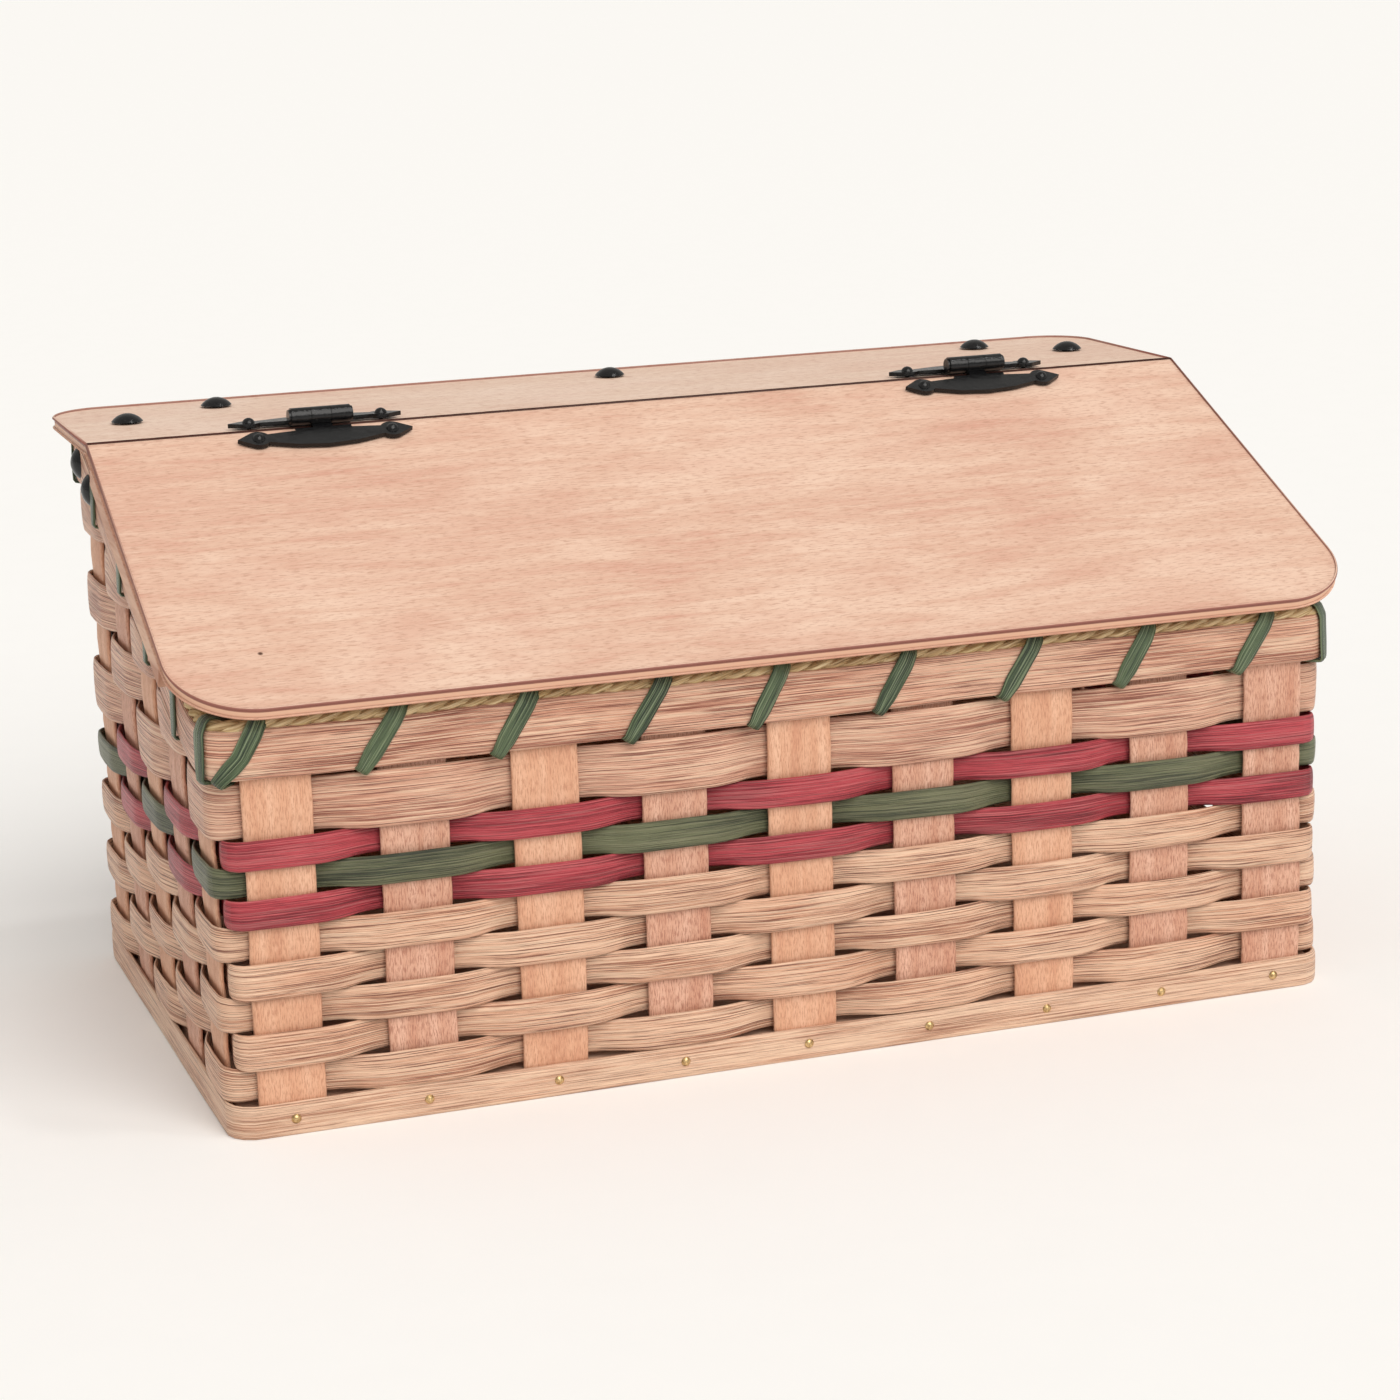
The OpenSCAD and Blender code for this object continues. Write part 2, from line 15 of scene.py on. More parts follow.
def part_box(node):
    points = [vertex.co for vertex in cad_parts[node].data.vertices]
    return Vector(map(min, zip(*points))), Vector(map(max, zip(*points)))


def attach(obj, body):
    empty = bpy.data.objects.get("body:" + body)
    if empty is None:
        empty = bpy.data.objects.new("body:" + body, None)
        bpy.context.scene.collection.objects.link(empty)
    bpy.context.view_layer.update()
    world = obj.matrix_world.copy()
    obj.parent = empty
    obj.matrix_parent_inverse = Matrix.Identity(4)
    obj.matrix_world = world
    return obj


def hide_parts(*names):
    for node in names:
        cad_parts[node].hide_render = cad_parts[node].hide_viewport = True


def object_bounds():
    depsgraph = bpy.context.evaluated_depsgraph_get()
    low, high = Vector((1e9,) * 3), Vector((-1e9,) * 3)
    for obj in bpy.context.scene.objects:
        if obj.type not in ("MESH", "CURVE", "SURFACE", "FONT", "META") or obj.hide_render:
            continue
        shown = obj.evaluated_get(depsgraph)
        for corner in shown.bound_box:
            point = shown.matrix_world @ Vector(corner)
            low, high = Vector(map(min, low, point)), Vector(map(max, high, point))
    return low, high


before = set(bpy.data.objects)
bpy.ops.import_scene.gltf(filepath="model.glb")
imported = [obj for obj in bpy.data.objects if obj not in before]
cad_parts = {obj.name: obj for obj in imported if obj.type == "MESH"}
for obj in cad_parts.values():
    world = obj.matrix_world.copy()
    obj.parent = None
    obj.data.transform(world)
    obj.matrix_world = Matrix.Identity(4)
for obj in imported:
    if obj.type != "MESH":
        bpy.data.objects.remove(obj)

CAD_BOUNDS = [list(corner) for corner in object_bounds()]
LOG = logging.getLogger("basket")
MM = 0.001
Colour = Tuple[float, float, float]
Scale = Tuple[float, float, float]
Stops = Sequence[Tuple[float, Colour]]

LONG_SPLINTS = 9    # uprights along the front, and along the back
END_SPLINTS = 5     # uprights in each end
BACK_MIDDLE = LONG_SPLINTS + END_SPLINTS + LONG_SPLINTS // 2
ROWS = 13           # woven rows, counted up from the base


class Body(Enum):
    """The two bodies that the pieces ride on."""

    BASKET = "basket"
    LID = "lid"


# ---- mesh tools ----


def smooth_noise(places: np.ndarray, period: float, seed: int, loop: Optional[float] = None) -> np.ndarray:
    """Gives a smooth random curve between -1 and 1.

    Args:
        places: where to read the curve, in metres.
        period: distance between its random values, in metres.
        seed: picks the curve.
        loop: length after which it repeats, for a closed strip.

    Returns:
        The curve's value at each place.
    """
    count = max(2, round(loop / period)) if loop else int(np.ptp(places) / period) + 3
    step = loop / count if loop else period
    values = np.random.default_rng(seed).uniform(-1, 1, count)
    spot = (places - (0 if loop else places.min())) / step
    low = np.floor(spot).astype(int)
    share = spot - low
    share = share * share * (3 - 2 * share)
    return values[low % count] * (1 - share) + values[(low + 1) % count] * share


def mesh_object(name: str, points: np.ndarray, faces: Iterable[Sequence[int]],
                uv: Optional[np.ndarray] = None) -> Object:
    """Makes a smooth-shaded mesh object.

    Args:
        name: the piece's name.
        points: its vertices, in metres.
        faces: the vertex numbers of each face.
        uv: one pair for each face corner, in metres along and across the piece.

    Returns:
        The new object, linked to the scene.
    """
    mesh = bpy.data.meshes.new(name)
    mesh.from_pydata(points.tolist(), [], [list(f) for f in faces])
    if uv is not None:
        layer = mesh.uv_layers.new(name="Grain")
        layer.uv.foreach_set("vector", uv.astype(np.float32).ravel())
    mesh.polygons.foreach_set("use_smooth", [True] * len(mesh.polygons))
    mesh.update()
    thing = bpy.data.objects.new(name, mesh)
    bpy.context.scene.collection.objects.link(thing)
    return thing


def oval_section(sides: int, squareness: float) -> np.ndarray:
    """Outline of a strip's cross-section, counted round from its lower edge up the outer face.

    Args:
        sides: points on each face.
        squareness: 2 is an ellipse, and more is flatter with tighter edges.

    Returns:
        Pairs from -1 to 1: across the strip, then through it.
    """
    angle = np.linspace(-math.pi, math.pi, 2 * sides, endpoint=False)
    c, s = np.cos(angle), np.sin(angle)
    power = 2 / squareness
    return np.stack([np.sign(c) * np.abs(c) ** power, -np.sign(s) * np.abs(s) ** power], 1)


@dataclass
class Sweep:
    """A cross-section carried along a line, as a strip or a cord."""

    name: str
    centre: np.ndarray
    across: np.ndarray
    out: np.ndarray
    width: np.ndarray
    thickness: np.ndarray
    section: np.ndarray
    closed: bool = True
    grain_start: float = 0.0

    def faces(self) -> Tuple[list, np.ndarray]:
        """Lists the faces and their grain coordinates.

        Returns:
            The faces, and one pair of coordinates for each of their corners.
        """
        rows, cols = len(self.centre), len(self.section)
        spans = rows if self.closed else rows - 1
        i, j = np.meshgrid(np.arange(spans), np.arange(cols), indexing="ij")
        nxt, side = (i + 1) % rows, (j + 1) % cols
        corners = [i * cols + j, i * cols + side, nxt * cols + side, nxt * cols + j]
        quads = np.stack(corners, -1).reshape(-1, 4)
        steps = np.linalg.norm(np.roll(self.centre, -1, 0) - self.centre, axis=1)
        along = np.concatenate([[0], np.cumsum(steps)]) + self.grain_start
        sized = self.section * [float(np.mean(self.width)) / 2, float(np.mean(self.thickness)) / 2]
        girth = np.linalg.norm(np.roll(sized, -1, 0) - sized, axis=1)
        around = np.concatenate([[0], np.cumsum(girth)])
        uv = np.stack([
            np.stack([along[i], around[j]], -1), np.stack([along[i], around[j + 1]], -1),
            np.stack([along[i + 1], around[j + 1]], -1), np.stack([along[i + 1], around[j]], -1),
        ], -2).reshape(-1, 2)
        faces = quads.tolist()
        if not self.closed:
            for row, order in ((0, range(cols - 1, -1, -1)), (rows - 1, range(cols))):
                faces.append([row * cols + k for k in order])
                uv = np.concatenate([uv, [[along[row], around[k]] for k in order]])
        return faces, uv

    def build(self) -> Object:
        """Makes the swept piece."""
        a = self.section[None, :, 0, None] * self.width[:, None, None] / 2
        t = self.section[None, :, 1, None] * self.thickness[:, None, None] / 2
        points = self.centre[:, None] + a * self.across[:, None] + t * self.out[:, None]
        faces, uv = self.faces()
        return mesh_object(self.name, points.reshape(-1, 3), faces, uv)


def place(piece: Object, body: Body, slot: str, material: Material, *nodes: str) -> Object:
    """Dresses a new piece, makes it ride and hides what it stands for.

    Args:
        piece: the new piece.
        body: what it moves with.
        slot: the record's slot that its finish comes from; it is not used.
        material: its finish.
        nodes: the plain solids that it replaces.

    Returns:
        The same piece.
    """
    piece.data.materials.clear()
    piece.data.materials.append(material)
    if nodes:
        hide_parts(*nodes)
    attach(piece, body.value)
    LOG.info("%s: %d faces, rides on %s", piece.name, len(piece.data.polygons), body.value)
    return piece


def dress(node: str, material: Material, bevel: float = 0.0) -> None:
    """Gives a carried-over solid its finish.

    Args:
        node: its name.
        material: its finish.
        bevel: width of the rounding along its edges, in metres.
    """
    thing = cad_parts[node]
    thing.data.materials.clear()
    thing.data.materials.append(material)
    if bevel:
        rounding = thing.modifiers.new("Rounding", "BEVEL")
        rounding.width = bevel
        rounding.segments = 2
        rounding.limit_method = "ANGLE"
        rounding.angle_limit = math.radians(40)
    LOG.info("%s: dressed with %s", node, material.name)


# ---- finishes ----


class Recipe:
    """Builds one material's nodes in short steps."""

    def __init__(self, name: str) -> None:
        """Starts an empty material that has only its surface.

        Args:
            name: the material's name.
        """
        self.material = bpy.data.materials.new(name)
        self.material.use_nodes = True
        self.nodes = self.material.node_tree.nodes
        self.links = self.material.node_tree.links
        self.surface = self.nodes["Principled BSDF"]

    def fill(self, socket: NodeSocket, value: object) -> None:
        """Links a socket, or sets its number or colour."""
        if isinstance(value, NodeSocket):
            self.links.new(value, socket)
        elif isinstance(value, tuple) and len(value) == 3 and socket.type == "RGBA":
            socket.default_value = (*value, 1)
        else:
            socket.default_value = value

    def set(self, **values: object) -> None:
        """Sets the surface's own inputs, by name with underscores for spaces."""
        for name, value in values.items():
            self.fill(self.surface.inputs[name.replace("_", " ")], value)

    def grain(self) -> NodeSocket:
        """Metres along and across a swept piece."""
        node = self.nodes.new("ShaderNodeUVMap")
        node.uv_map = "Grain"
        return node.outputs["UV"]

    def solid(self) -> NodeSocket:
        """Metres in the piece's own frame."""
        return self.nodes.new("ShaderNodeTexCoord").outputs["Object"]

    def stretch(self, source: NodeSocket, scale: Scale, shift: Scale = (0, 0, 0)) -> NodeSocket:
        """Coordinates scaled by direction, so that a pattern runs with the grain."""
        node = self.nodes.new("ShaderNodeMapping")
        node.inputs["Scale"].default_value = scale
        node.inputs["Location"].default_value = shift
        self.links.new(source, node.inputs["Vector"])
        return node.outputs["Vector"]

    def noise(self, source: NodeSocket, scale: float = 1.0, detail: float = 3.0, rough: float = 0.55,
              swirl: float = 0.0) -> NodeSocket:
        """Random pattern from 0 to 1, about 0.5 on average."""
        node = self.nodes.new("ShaderNodeTexNoise")
        settings = {"Scale": scale, "Detail": detail, "Roughness": rough, "Distortion": swirl}
        for name, value in settings.items():
            node.inputs[name].default_value = value
        self.links.new(source, node.inputs["Vector"])
        return node.outputs["Fac"]

    def ramp(self, value: NodeSocket, stops: Stops) -> NodeSocket:
        """Colours by value."""
        node = self.nodes.new("ShaderNodeValToRGB")
        marks = node.color_ramp.elements
        while len(marks) < len(stops):
            marks.new(0.5)
        for mark, (at, _) in zip(marks, stops):
            mark.position = at
        for mark, (_, colour) in zip(marks, stops):
            mark.color = (*colour, 1)
        self.links.new(value, node.inputs["Fac"])
        return node.outputs["Color"]

    def level(self, value: NodeSocket, low: float, high: float, to_low: float = 0.0,
              to_high: float = 1.0) -> NodeSocket:
        """Stretches a range of values to another, and clips what is outside it."""
        node = self.nodes.new("ShaderNodeMapRange")
        settings = {"From Min": low, "From Max": high, "To Min": to_low, "To Max": to_high}
        for name, number in settings.items():
            node.inputs[name].default_value = number
        self.links.new(value, node.inputs["Value"])
        return node.outputs["Result"]

    def blend(self, share: object, base: object, top: object, how: str = "MIX") -> NodeSocket:
        """Lays one colour over another."""
        node = self.nodes.new("ShaderNodeMix")
        node.data_type = "RGBA"
        node.blend_type = how
        self.fill(node.inputs[0], share)
        self.fill(node.inputs[6], base)
        self.fill(node.inputs[7], top)
        return node.outputs[2]

    def sum(self, first: object, second: object, how: str = "ADD") -> NodeSocket:
        """Joins two values with one sum."""
        node = self.nodes.new("ShaderNodeMath")
        node.operation = how
        self.fill(node.inputs[0], first)
        self.fill(node.inputs[1], second)
        return node.outputs["Value"]

    def part(self, source: NodeSocket, axis: str) -> NodeSocket:
        """One coordinate of a place."""
        node = self.nodes.new("ShaderNodeSeparateXYZ")
        self.links.new(source, node.inputs["Vector"])
        return node.outputs[axis]

    def relief(self, height: NodeSocket, depth: float, strength: float = 1.0) -> None:
        """Bumps the surface by a height from 0 to 1, over a depth in metres."""
        node = self.nodes.new("ShaderNodeBump")
        node.inputs["Strength"].default_value = strength
        node.inputs["Distance"].default_value = depth
        self.links.new(height, node.inputs["Height"])
        self.links.new(node.outputs["Normal"], self.surface.inputs["Normal"])


@dataclass(frozen=True)
class SplintFinish:
    """Flat reed or splint whose long fibres have taken the stain unevenly."""

    name: str
    slot: str
    light: Colour
    body: Colour
    dark: Colour
    fibre: Colour
    fibre_share: float = 0.5
    pale: Colour = (0.97, 0.69, 0.49)
    pale_share: float = 0.7
    tint: Colour = (0.92, 0.74, 0.66)
    tint_share: float = 0.35
    roughness: float = 0.42

    def build(self) -> Material:
        """Makes the material: long tones, fine fibres, dark pores, pale fibres and a shallow relief."""
        r = Recipe(self.name)
        grain = r.grain()
        tone = r.noise(r.stretch(grain, (14, 120, 1)), detail=3, rough=0.5)
        streak = r.noise(r.stretch(grain, (16, 1900, 1)), detail=6, rough=0.75, swirl=0.15)
        colour = r.ramp(r.sum(r.sum(tone, 0.35, "MULTIPLY"), r.sum(streak, 0.65, "MULTIPLY")),
                        ((0.43, self.dark), (0.475, self.body), (0.525, self.light)))
        patch = r.noise(r.stretch(grain, (14, 26, 1), (7, 3, 0)), detail=2)
        colour = r.blend(r.level(patch, 0.46, 0.62, 0, self.tint_share), colour, self.tint, "MULTIPLY")
        pores = r.noise(r.stretch(grain, (22, 2300, 1), (3, 5, 0)), detail=3, rough=0.65, swirl=0.1)
        colour = r.blend(r.level(pores, 0.53, 0.57, 0, self.fibre_share), colour, self.fibre)
        pale = r.noise(r.stretch(grain, (18, 1800, 1), (9, 1, 0)), detail=3, rough=0.6)
        colour = r.blend(r.level(pale, 0.52, 0.57, 0, self.pale_share), colour, self.pale)
        dull, bright = self.roughness + 0.12, self.roughness - 0.06
        r.set(Base_Color=colour, Roughness=r.level(streak, 0.3, 0.7, dull, bright),
              Specular_IOR_Level=0.42, Coat_Weight=0.1, Coat_Roughness=0.32)
        r.relief(r.sum(streak, r.sum(pores, -0.8, "MULTIPLY")), 0.7 * MM, 0.9)
        return r.material


@dataclass(frozen=True)
class SawnSplintFinish:
    """Sliced splint for the uprights, with short pores all along it."""

    name: str
    light: Colour
    body: Colour
    dark: Colour
    pink: Colour
    dash_share: float
    slot: str = "upright_splint"

    def build(self) -> Material:
        """Makes the material: long soft bands, with stippled pores along them."""
        r = Recipe(self.name)
        grain = r.grain()
        wide = r.noise(r.stretch(grain, (16, 160, 1)), detail=3)
        colour = r.ramp(wide, ((0.30, self.pink), (0.46, self.body), (0.68, self.light)))
        dash = r.noise(r.stretch(grain, (330, 2300, 1)), detail=3, rough=0.65)
        colour = r.blend(r.level(dash, 0.48, 0.60, 0, self.dash_share), colour, self.dark)
        pale = r.noise(r.stretch(grain, (200, 1700, 1), (2, 9, 0)), detail=2)
        colour = r.blend(r.level(pale, 0.56, 0.72, 0, 0.55), colour, self.light)
        r.set(Base_Color=colour, Roughness=r.level(dash, 0.3, 0.7, 0.5, 0.62), Specular_IOR_Level=0.4)
        r.relief(dash, 0.2 * MM, 0.5)
        return r.material


@dataclass(frozen=True)
class BoardFinish:
    """Pale veneered board, lightly stained, with its plies showing along the edge."""

    name: str = "lid_wood"
    slot: str = "lid_wood"
    thickness: float = 5 * MM
    light: Colour = (0.81, 0.57, 0.44)
    body: Colour = (0.73, 0.47, 0.35)
    dark: Colour = (0.49, 0.26, 0.18)
    rose: Colour = (0.66, 0.36, 0.265)
    knot: Tuple[float, float] = (-186 * MM, -137 * MM)
    knot_core: float = 0.447 * MM
    knot_rim: float = 1.095 * MM

    def build(self) -> Material:
        """Makes the material: fine grain along X, cloudy blotches, one pin knot and dark-edged plies."""
        r = Recipe(self.name)
        place_in = r.solid()
        cloud = r.noise(r.stretch(place_in, (9, 17, 1)), detail=4, rough=0.6, swirl=0.8)
        band = r.noise(r.stretch(place_in, (22, 210, 1)), detail=4, rough=0.65, swirl=0.6)
        colour = r.ramp(r.sum(r.sum(cloud, 0.5, "MULTIPLY"), r.sum(band, 0.5, "MULTIPLY")),
                        ((0.34, self.rose), (0.46, self.body), (0.58, self.light)))
        blush = r.noise(r.stretch(place_in, (11, 24, 1), (4, 1, 0)), detail=4, rough=0.6, swirl=1.0)
        colour = r.blend(r.level(blush, 0.50, 0.68, 0, 0.42), colour, self.rose)
        fleck = r.noise(r.stretch(place_in, (230, 1500, 1)), detail=3, rough=0.62)
        colour = r.blend(r.level(fleck, 0.52, 0.62, 0, 0.58), colour, self.dark)
        pale = r.noise(r.stretch(place_in, (160, 1100, 1), (8, 3, 0)), detail=2)
        colour = r.blend(r.level(pale, 0.54, 0.70, 0, 0.45), colour, self.light)
        dx = r.sum(r.sum(r.part(place_in, "X"), self.knot[0], "SUBTRACT"), 2.0, "POWER")
        dy = r.sum(r.sum(r.part(place_in, "Y"), self.knot[1], "SUBTRACT"), 2.0, "POWER")
        spot = r.level(r.sum(dx, dy), self.knot_core ** 2, self.knot_rim ** 2, 1, 0)
        colour = r.blend(spot, colour, (0.10, 0.04, 0.02))
        depth = r.sum(r.part(place_in, "Z"), -1 / self.thickness, "MULTIPLY")
        ply = r.ramp(depth, ((0.0, (0.27, 0.10, 0.075)), (0.40, (0.31, 0.12, 0.09)),
                             (0.46, (0.80, 0.50, 0.34)), (0.74, (0.74, 0.43, 0.29)),
                             (0.80, (0.50, 0.25, 0.17)), (1.0, (0.56, 0.30, 0.20))))
        facing = r.part(r.nodes.new("ShaderNodeTexCoord").outputs["Normal"], "Z")
        edge = r.level(r.sum(facing, facing, "MULTIPLY"), 0.45, 0.9, 1, 0)
        r.set(Base_Color=r.blend(edge, colour, ply), Roughness=r.level(fleck, 0.3, 0.7, 0.44, 0.58),
              Specular_IOR_Level=0.35, Coat_Weight=0.05, Coat_Roughness=0.4)
        r.relief(r.sum(fleck, band), 0.12 * MM, 0.35)
        return r.material


@dataclass(frozen=True)
class BareBoardFinish:
    """Plain planed wood for the pieces inside."""

    name: str = "bare_board"
    slot: str = "bare_board"
    light: Colour = (0.74, 0.47, 0.335)
    dark: Colour = (0.50, 0.255, 0.170)
    run: Scale = (8, 90, 90)

    def build(self) -> Material:
        """Makes the material: long soft grain bands with fine pores."""
        r = Recipe(self.name)
        place_in = r.solid()
        band = r.noise(r.stretch(place_in, self.run), detail=4, rough=0.6, swirl=0.7)
        pore = r.noise(r.stretch(place_in, tuple(12 * n for n in self.run)), detail=2)
        colour = r.ramp(band, ((0.36, self.dark), (0.6, self.light)))
        colour = r.blend(r.level(pore, 0.55, 0.7, 0, 0.35), colour, self.dark)
        r.set(Base_Color=colour, Roughness=r.level(pore, 0.3, 0.7, 0.55, 0.7), Specular_IOR_Level=0.3)
        r.relief(r.sum(band, pore), 0.2 * MM, 0.4)
        return r.material


@dataclass(frozen=True)
class SeagrassFinish:
    """Twisted dry seagrass: tan, with green and brown blades."""

    name: str = "seagrass"
    slot: str = "seagrass"

    def build(self) -> Material:
        """Makes the material: fibres along each ply with strong tone changes."""
        r = Recipe(self.name)
        grain = r.grain()
        blade = r.noise(r.stretch(grain, (60, 1400, 1)), detail=4, rough=0.65, swirl=0.4)
        length = r.noise(r.stretch(grain, (22, 200, 1)), detail=2)
        colour = r.ramp(blade, ((0.32, (0.26, 0.15, 0.07)), (0.46, (0.58, 0.40, 0.20)),
                                (0.66, (0.84, 0.68, 0.42))))
        colour = r.blend(r.level(length, 0.5, 0.68, 0, 0.5), colour, (0.66, 0.60, 0.34), "MULTIPLY")
        r.set(Base_Color=colour, Roughness=r.level(blade, 0.3, 0.7, 0.75, 0.55), Specular_IOR_Level=0.3)
        r.relief(blade, 0.5 * MM, 0.9)
        return r.material


@dataclass(frozen=True)
class IronFinish:
    """Black hammered ironware with a satin coat."""

    name: str = "black_iron"
    slot: str = "black_iron"

    def build(self) -> Material:
        """Makes the material: soft hammer marks, fine pits and slightly worn high spots."""
        r = Recipe(self.name)
        place_in = r.solid()
        beat = r.noise(place_in, scale=260, detail=1)
        pit = r.noise(place_in, scale=1500, detail=3, rough=0.6)
        colour = r.ramp(pit, ((0.35, (0.003, 0.003, 0.003)), (0.6, (0.007, 0.007, 0.008)),
                              (0.75, (0.022, 0.021, 0.020))))
        r.set(Base_Color=colour, Roughness=r.level(pit, 0.3, 0.7, 0.14, 0.26), Specular_IOR_Level=0.36)
        r.relief(r.sum(beat, r.sum(pit, 0.3, "MULTIPLY")), 0.4 * MM, 0.5)
        return r.material


@dataclass(frozen=True)
class BrassFinish:
    """Small brass heads, dulled by handling."""

    name: str = "brass_tack"
    slot: str = "brass_tack"

    def build(self) -> Material:
        """Makes the material: yellow metal with darker spots."""
        r = Recipe(self.name)
        spot = r.noise(r.solid(), scale=900, detail=3)
        colour = r.ramp(spot, ((0.35, (0.34, 0.21, 0.09)), (0.6, (0.72, 0.52, 0.26))))
        r.set(Base_Color=colour, Metallic=1.0, Roughness=r.level(spot, 0.3, 0.7, 0.5, 0.3))
        r.relief(spot, 0.1 * MM, 0.3)
        return r.material


@dataclass(frozen=True)
class FloorFinish:
    """Seamless pale paper under the basket."""

    name: str = "floor_paper"

    def build(self) -> Material:
        """Makes the material: near-white with a barely visible tooth."""
        r = Recipe(self.name)
        tooth = r.noise(r.solid(), scale=40, detail=2)
        r.set(Base_Color=r.ramp(tooth, ((0.3, (0.966, 0.966, 0.964)), (0.7, (0.972, 0.972, 0.970)))),
              Roughness=r.level(tooth, 0.3, 0.7, 0.88, 0.94), Specular_IOR_Level=0.1)
        return r.material


NATURAL = SplintFinish("natural_splint", "natural_splint", light=(0.86, 0.55, 0.38), body=(0.74, 0.42, 0.275),
                       dark=(0.44, 0.190, 0.112), fibre=(0.17, 0.050, 0.027), fibre_share=0.85)
FOOT = SplintFinish("foot_splint", "natural_splint", light=(0.87, 0.60, 0.43), body=(0.78, 0.475, 0.322),
                    dark=(0.52, 0.265, 0.165), fibre=(0.26, 0.10, 0.06), fibre_share=0.6, tint_share=0.25)
WIDE = SplintFinish("wide_splint", "wide_splint", light=(0.78, 0.45, 0.315), body=(0.66, 0.335, 0.228),
                    dark=(0.40, 0.160, 0.104), fibre=(0.20, 0.058, 0.036), fibre_share=0.8, tint_share=0.4)
RIM = SplintFinish("rim_splint", "rim_splint", light=(0.80, 0.46, 0.320), body=(0.62, 0.290, 0.190),
                   dark=(0.35, 0.125, 0.078), fibre=(0.17, 0.046, 0.028), fibre_share=0.85, tint_share=0.45)
RED = SplintFinish("red_splint", "red_splint", light=(0.53, 0.062, 0.080), body=(0.34, 0.022, 0.037),
                   dark=(0.17, 0.011, 0.019), fibre=(0.08, 0.006, 0.010), fibre_share=0.5,
                   pale=(0.68, 0.21, 0.21), pale_share=0.4, tint=(0.9, 0.8, 0.8), tint_share=0.2,
                   roughness=0.38)
GREEN = SplintFinish("green_splint", "green_splint", light=(0.160, 0.170, 0.088), body=(0.080, 0.092, 0.047),
                     dark=(0.032, 0.040, 0.021), fibre=(0.020, 0.018, 0.010), fibre_share=0.5,
                     pale=(0.28, 0.27, 0.16), pale_share=0.4, tint=(0.95, 0.85, 0.75), tint_share=0.25,
                     roughness=0.38)
LASHING = SplintFinish("lashing", "lashing", light=(0.095, 0.138, 0.066), body=(0.042, 0.072, 0.033),
                       dark=(0.013, 0.026, 0.013), fibre=(0.006, 0.012, 0.007), fibre_share=0.6,
                       pale=(0.33, 0.39, 0.23), pale_share=0.5, tint=(0.85, 0.9, 0.8), tint_share=0.2,
                       roughness=0.28)
WARM_UPRIGHT = SawnSplintFinish("warm_upright", light=(0.79, 0.475, 0.318), body=(0.70, 0.378, 0.236),
                                dark=(0.42, 0.175, 0.098), pink=(0.62, 0.305, 0.188), dash_share=0.6)
ROSY_UPRIGHT = SawnSplintFinish("rosy_upright", light=(0.76, 0.460, 0.335), body=(0.64, 0.345, 0.235),
                                dark=(0.35, 0.130, 0.083), pink=(0.57, 0.270, 0.175), dash_share=0.75)


# ---- the wall's plan ----


